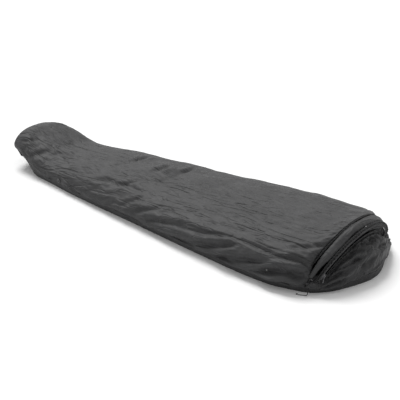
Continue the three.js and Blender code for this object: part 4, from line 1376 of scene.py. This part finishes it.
def stitchShape():
    bpy.ops.object.select_all(action="DESELECT")
    bpy.ops.mesh.primitive_cube_add(size=1)
    stitch = bpy.context.object
    stitch.scale = (stitching["length"], stitching["width"], stitching["thickness"])
    bpy.ops.object.transform_apply(location=True, rotation=True, scale=True)
    applyModifier(stitch, "BEVEL", width=0.0002, segments=1)
    return stitch


def stitchRow(name, line, normals, body="sack"):
    travel = np.concatenate([[0], np.cumsum(np.linalg.norm(np.diff(line, axis=0), axis=1))])
    step = stitching["length"] + stitching["gap"]
    at = np.arange(step, travel[-1] - step, step)
    points = np.stack([np.interp(at, travel, line[:, k]) for k in range(3)], 1)
    ahead = np.stack([np.interp(at + step / 4, travel, line[:, k]) for k in range(3)], 1)
    ups = np.stack([np.interp(at, travel, normals[:, k]) for k in range(3)], 1)
    places = []
    for point, forward, up in zip(points, ahead - points, ups):
        along = forward / np.linalg.norm(forward)
        up = up - along * (up @ along)
        up /= np.linalg.norm(up)
        side = np.cross(up, along)
        matrix = np.identity(4)
        matrix[:3, 0], matrix[:3, 1], matrix[:3, 2], matrix[:3, 3] = along, side, up, point
        places.append(matrix)
    piece = copyAlong(name, stitchShape(), places)
    roundToe(piece)
    giveMaterial(piece, seamThread)
    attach(piece, body)
    return piece


def seamLine(rise, stop):  # along the flank from the foot to the shoulder, on the shell's surface
    x = np.linspace(footX + 0.012, stop, 260)
    shareUp = rise * 0.2 / (sack["belly"] * readTable(sack["stations"], x)[1] - sack["seam"])
    near = bodyOutline(x, shareUp / 2)
    return near


def makeSeams():
    line = rim.copy()
    line[:, 2] = sack["seam"]
    line[:, 0] -= sack["footLean"] * footShare(line[:, 0]) * sack["seam"]
    welt = layTube("floorSeamWelt", smoothLine(line[::4], 420), stitching["weltRadius"], 8)
    roundToe(welt)
    giveMaterial(welt, shellCloth)
    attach(welt, "sack")
    for name, side in (("Near", 1), ("Far", -1)):
        near = seamLine(0.007, 0.80) * (1, side, 1)
        outward = np.tile((0, -side, 0.15), (len(near), 1)).astype(float)
        stitchRow("seamStitches" + name, near + outward * 0.0009, outward)


makeSeams()
print("seams done")


# sealing tapes over the inside of the seams; they follow the rounded toe

def makeSealTape(node, name):
    piece = bpy.data.objects[node].copy()
    piece.data = piece.data.copy()
    piece.name = piece.data.name = name
    bpy.context.scene.collection.objects.link(piece)
    weldDoubles(piece)
    roundToe(piece)
    giveMaterial(piece, sealTape)
    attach(piece, "sack")
    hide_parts(node)


for node, name in (("seam_tape_near", "sealTapeNear"), ("seam_tape_far", "sealTapeFar"),
                   ("seam_tape_foot", "sealTapeFoot")):
    makeSealTape(node, name)
print("seal tapes done")


# floor of the room and the light

studio = {
    "ground": 30.0,
    "groundColour": (0.92, 0.92, 0.92),
    "sky": 0.64,
    "key": {"place": (-2.0, 1.2, 3.4), "spread": math.radians(26), "strength": 2.3},
}


def addStudio():
    bpy.ops.object.select_all(action="DESELECT")
    bpy.ops.mesh.primitive_plane_add(size=studio["ground"], location=(0, 0, 0))
    ground = bpy.context.object
    ground.name = "studioGround"
    material, nodes, links, shader = newMaterial("paleGround", studio["groundColour"], 0.9)
    giveMaterial(ground, material)
    world = bpy.data.worlds.new("studioSky")
    bpy.context.scene.world = world
    world.use_nodes = True
    background = world.node_tree.nodes["Background"]
    background.inputs["Color"].default_value = (1, 1, 1, 1)
    background.inputs["Strength"].default_value = studio["sky"]
    light = studio["key"]
    bpy.ops.object.light_add(type="SUN", location=light["place"])
    lamp = bpy.context.object
    lamp.name = "keyLight"
    lamp.data.energy = light["strength"]
    lamp.data.angle = light["spread"]
    lamp.rotation_euler = (-Vector(light["place"])).to_track_quat("-Z", "Y").to_euler()
    bpy.context.scene.view_settings.view_transform = "Standard"


addStudio()
print("studio ready")
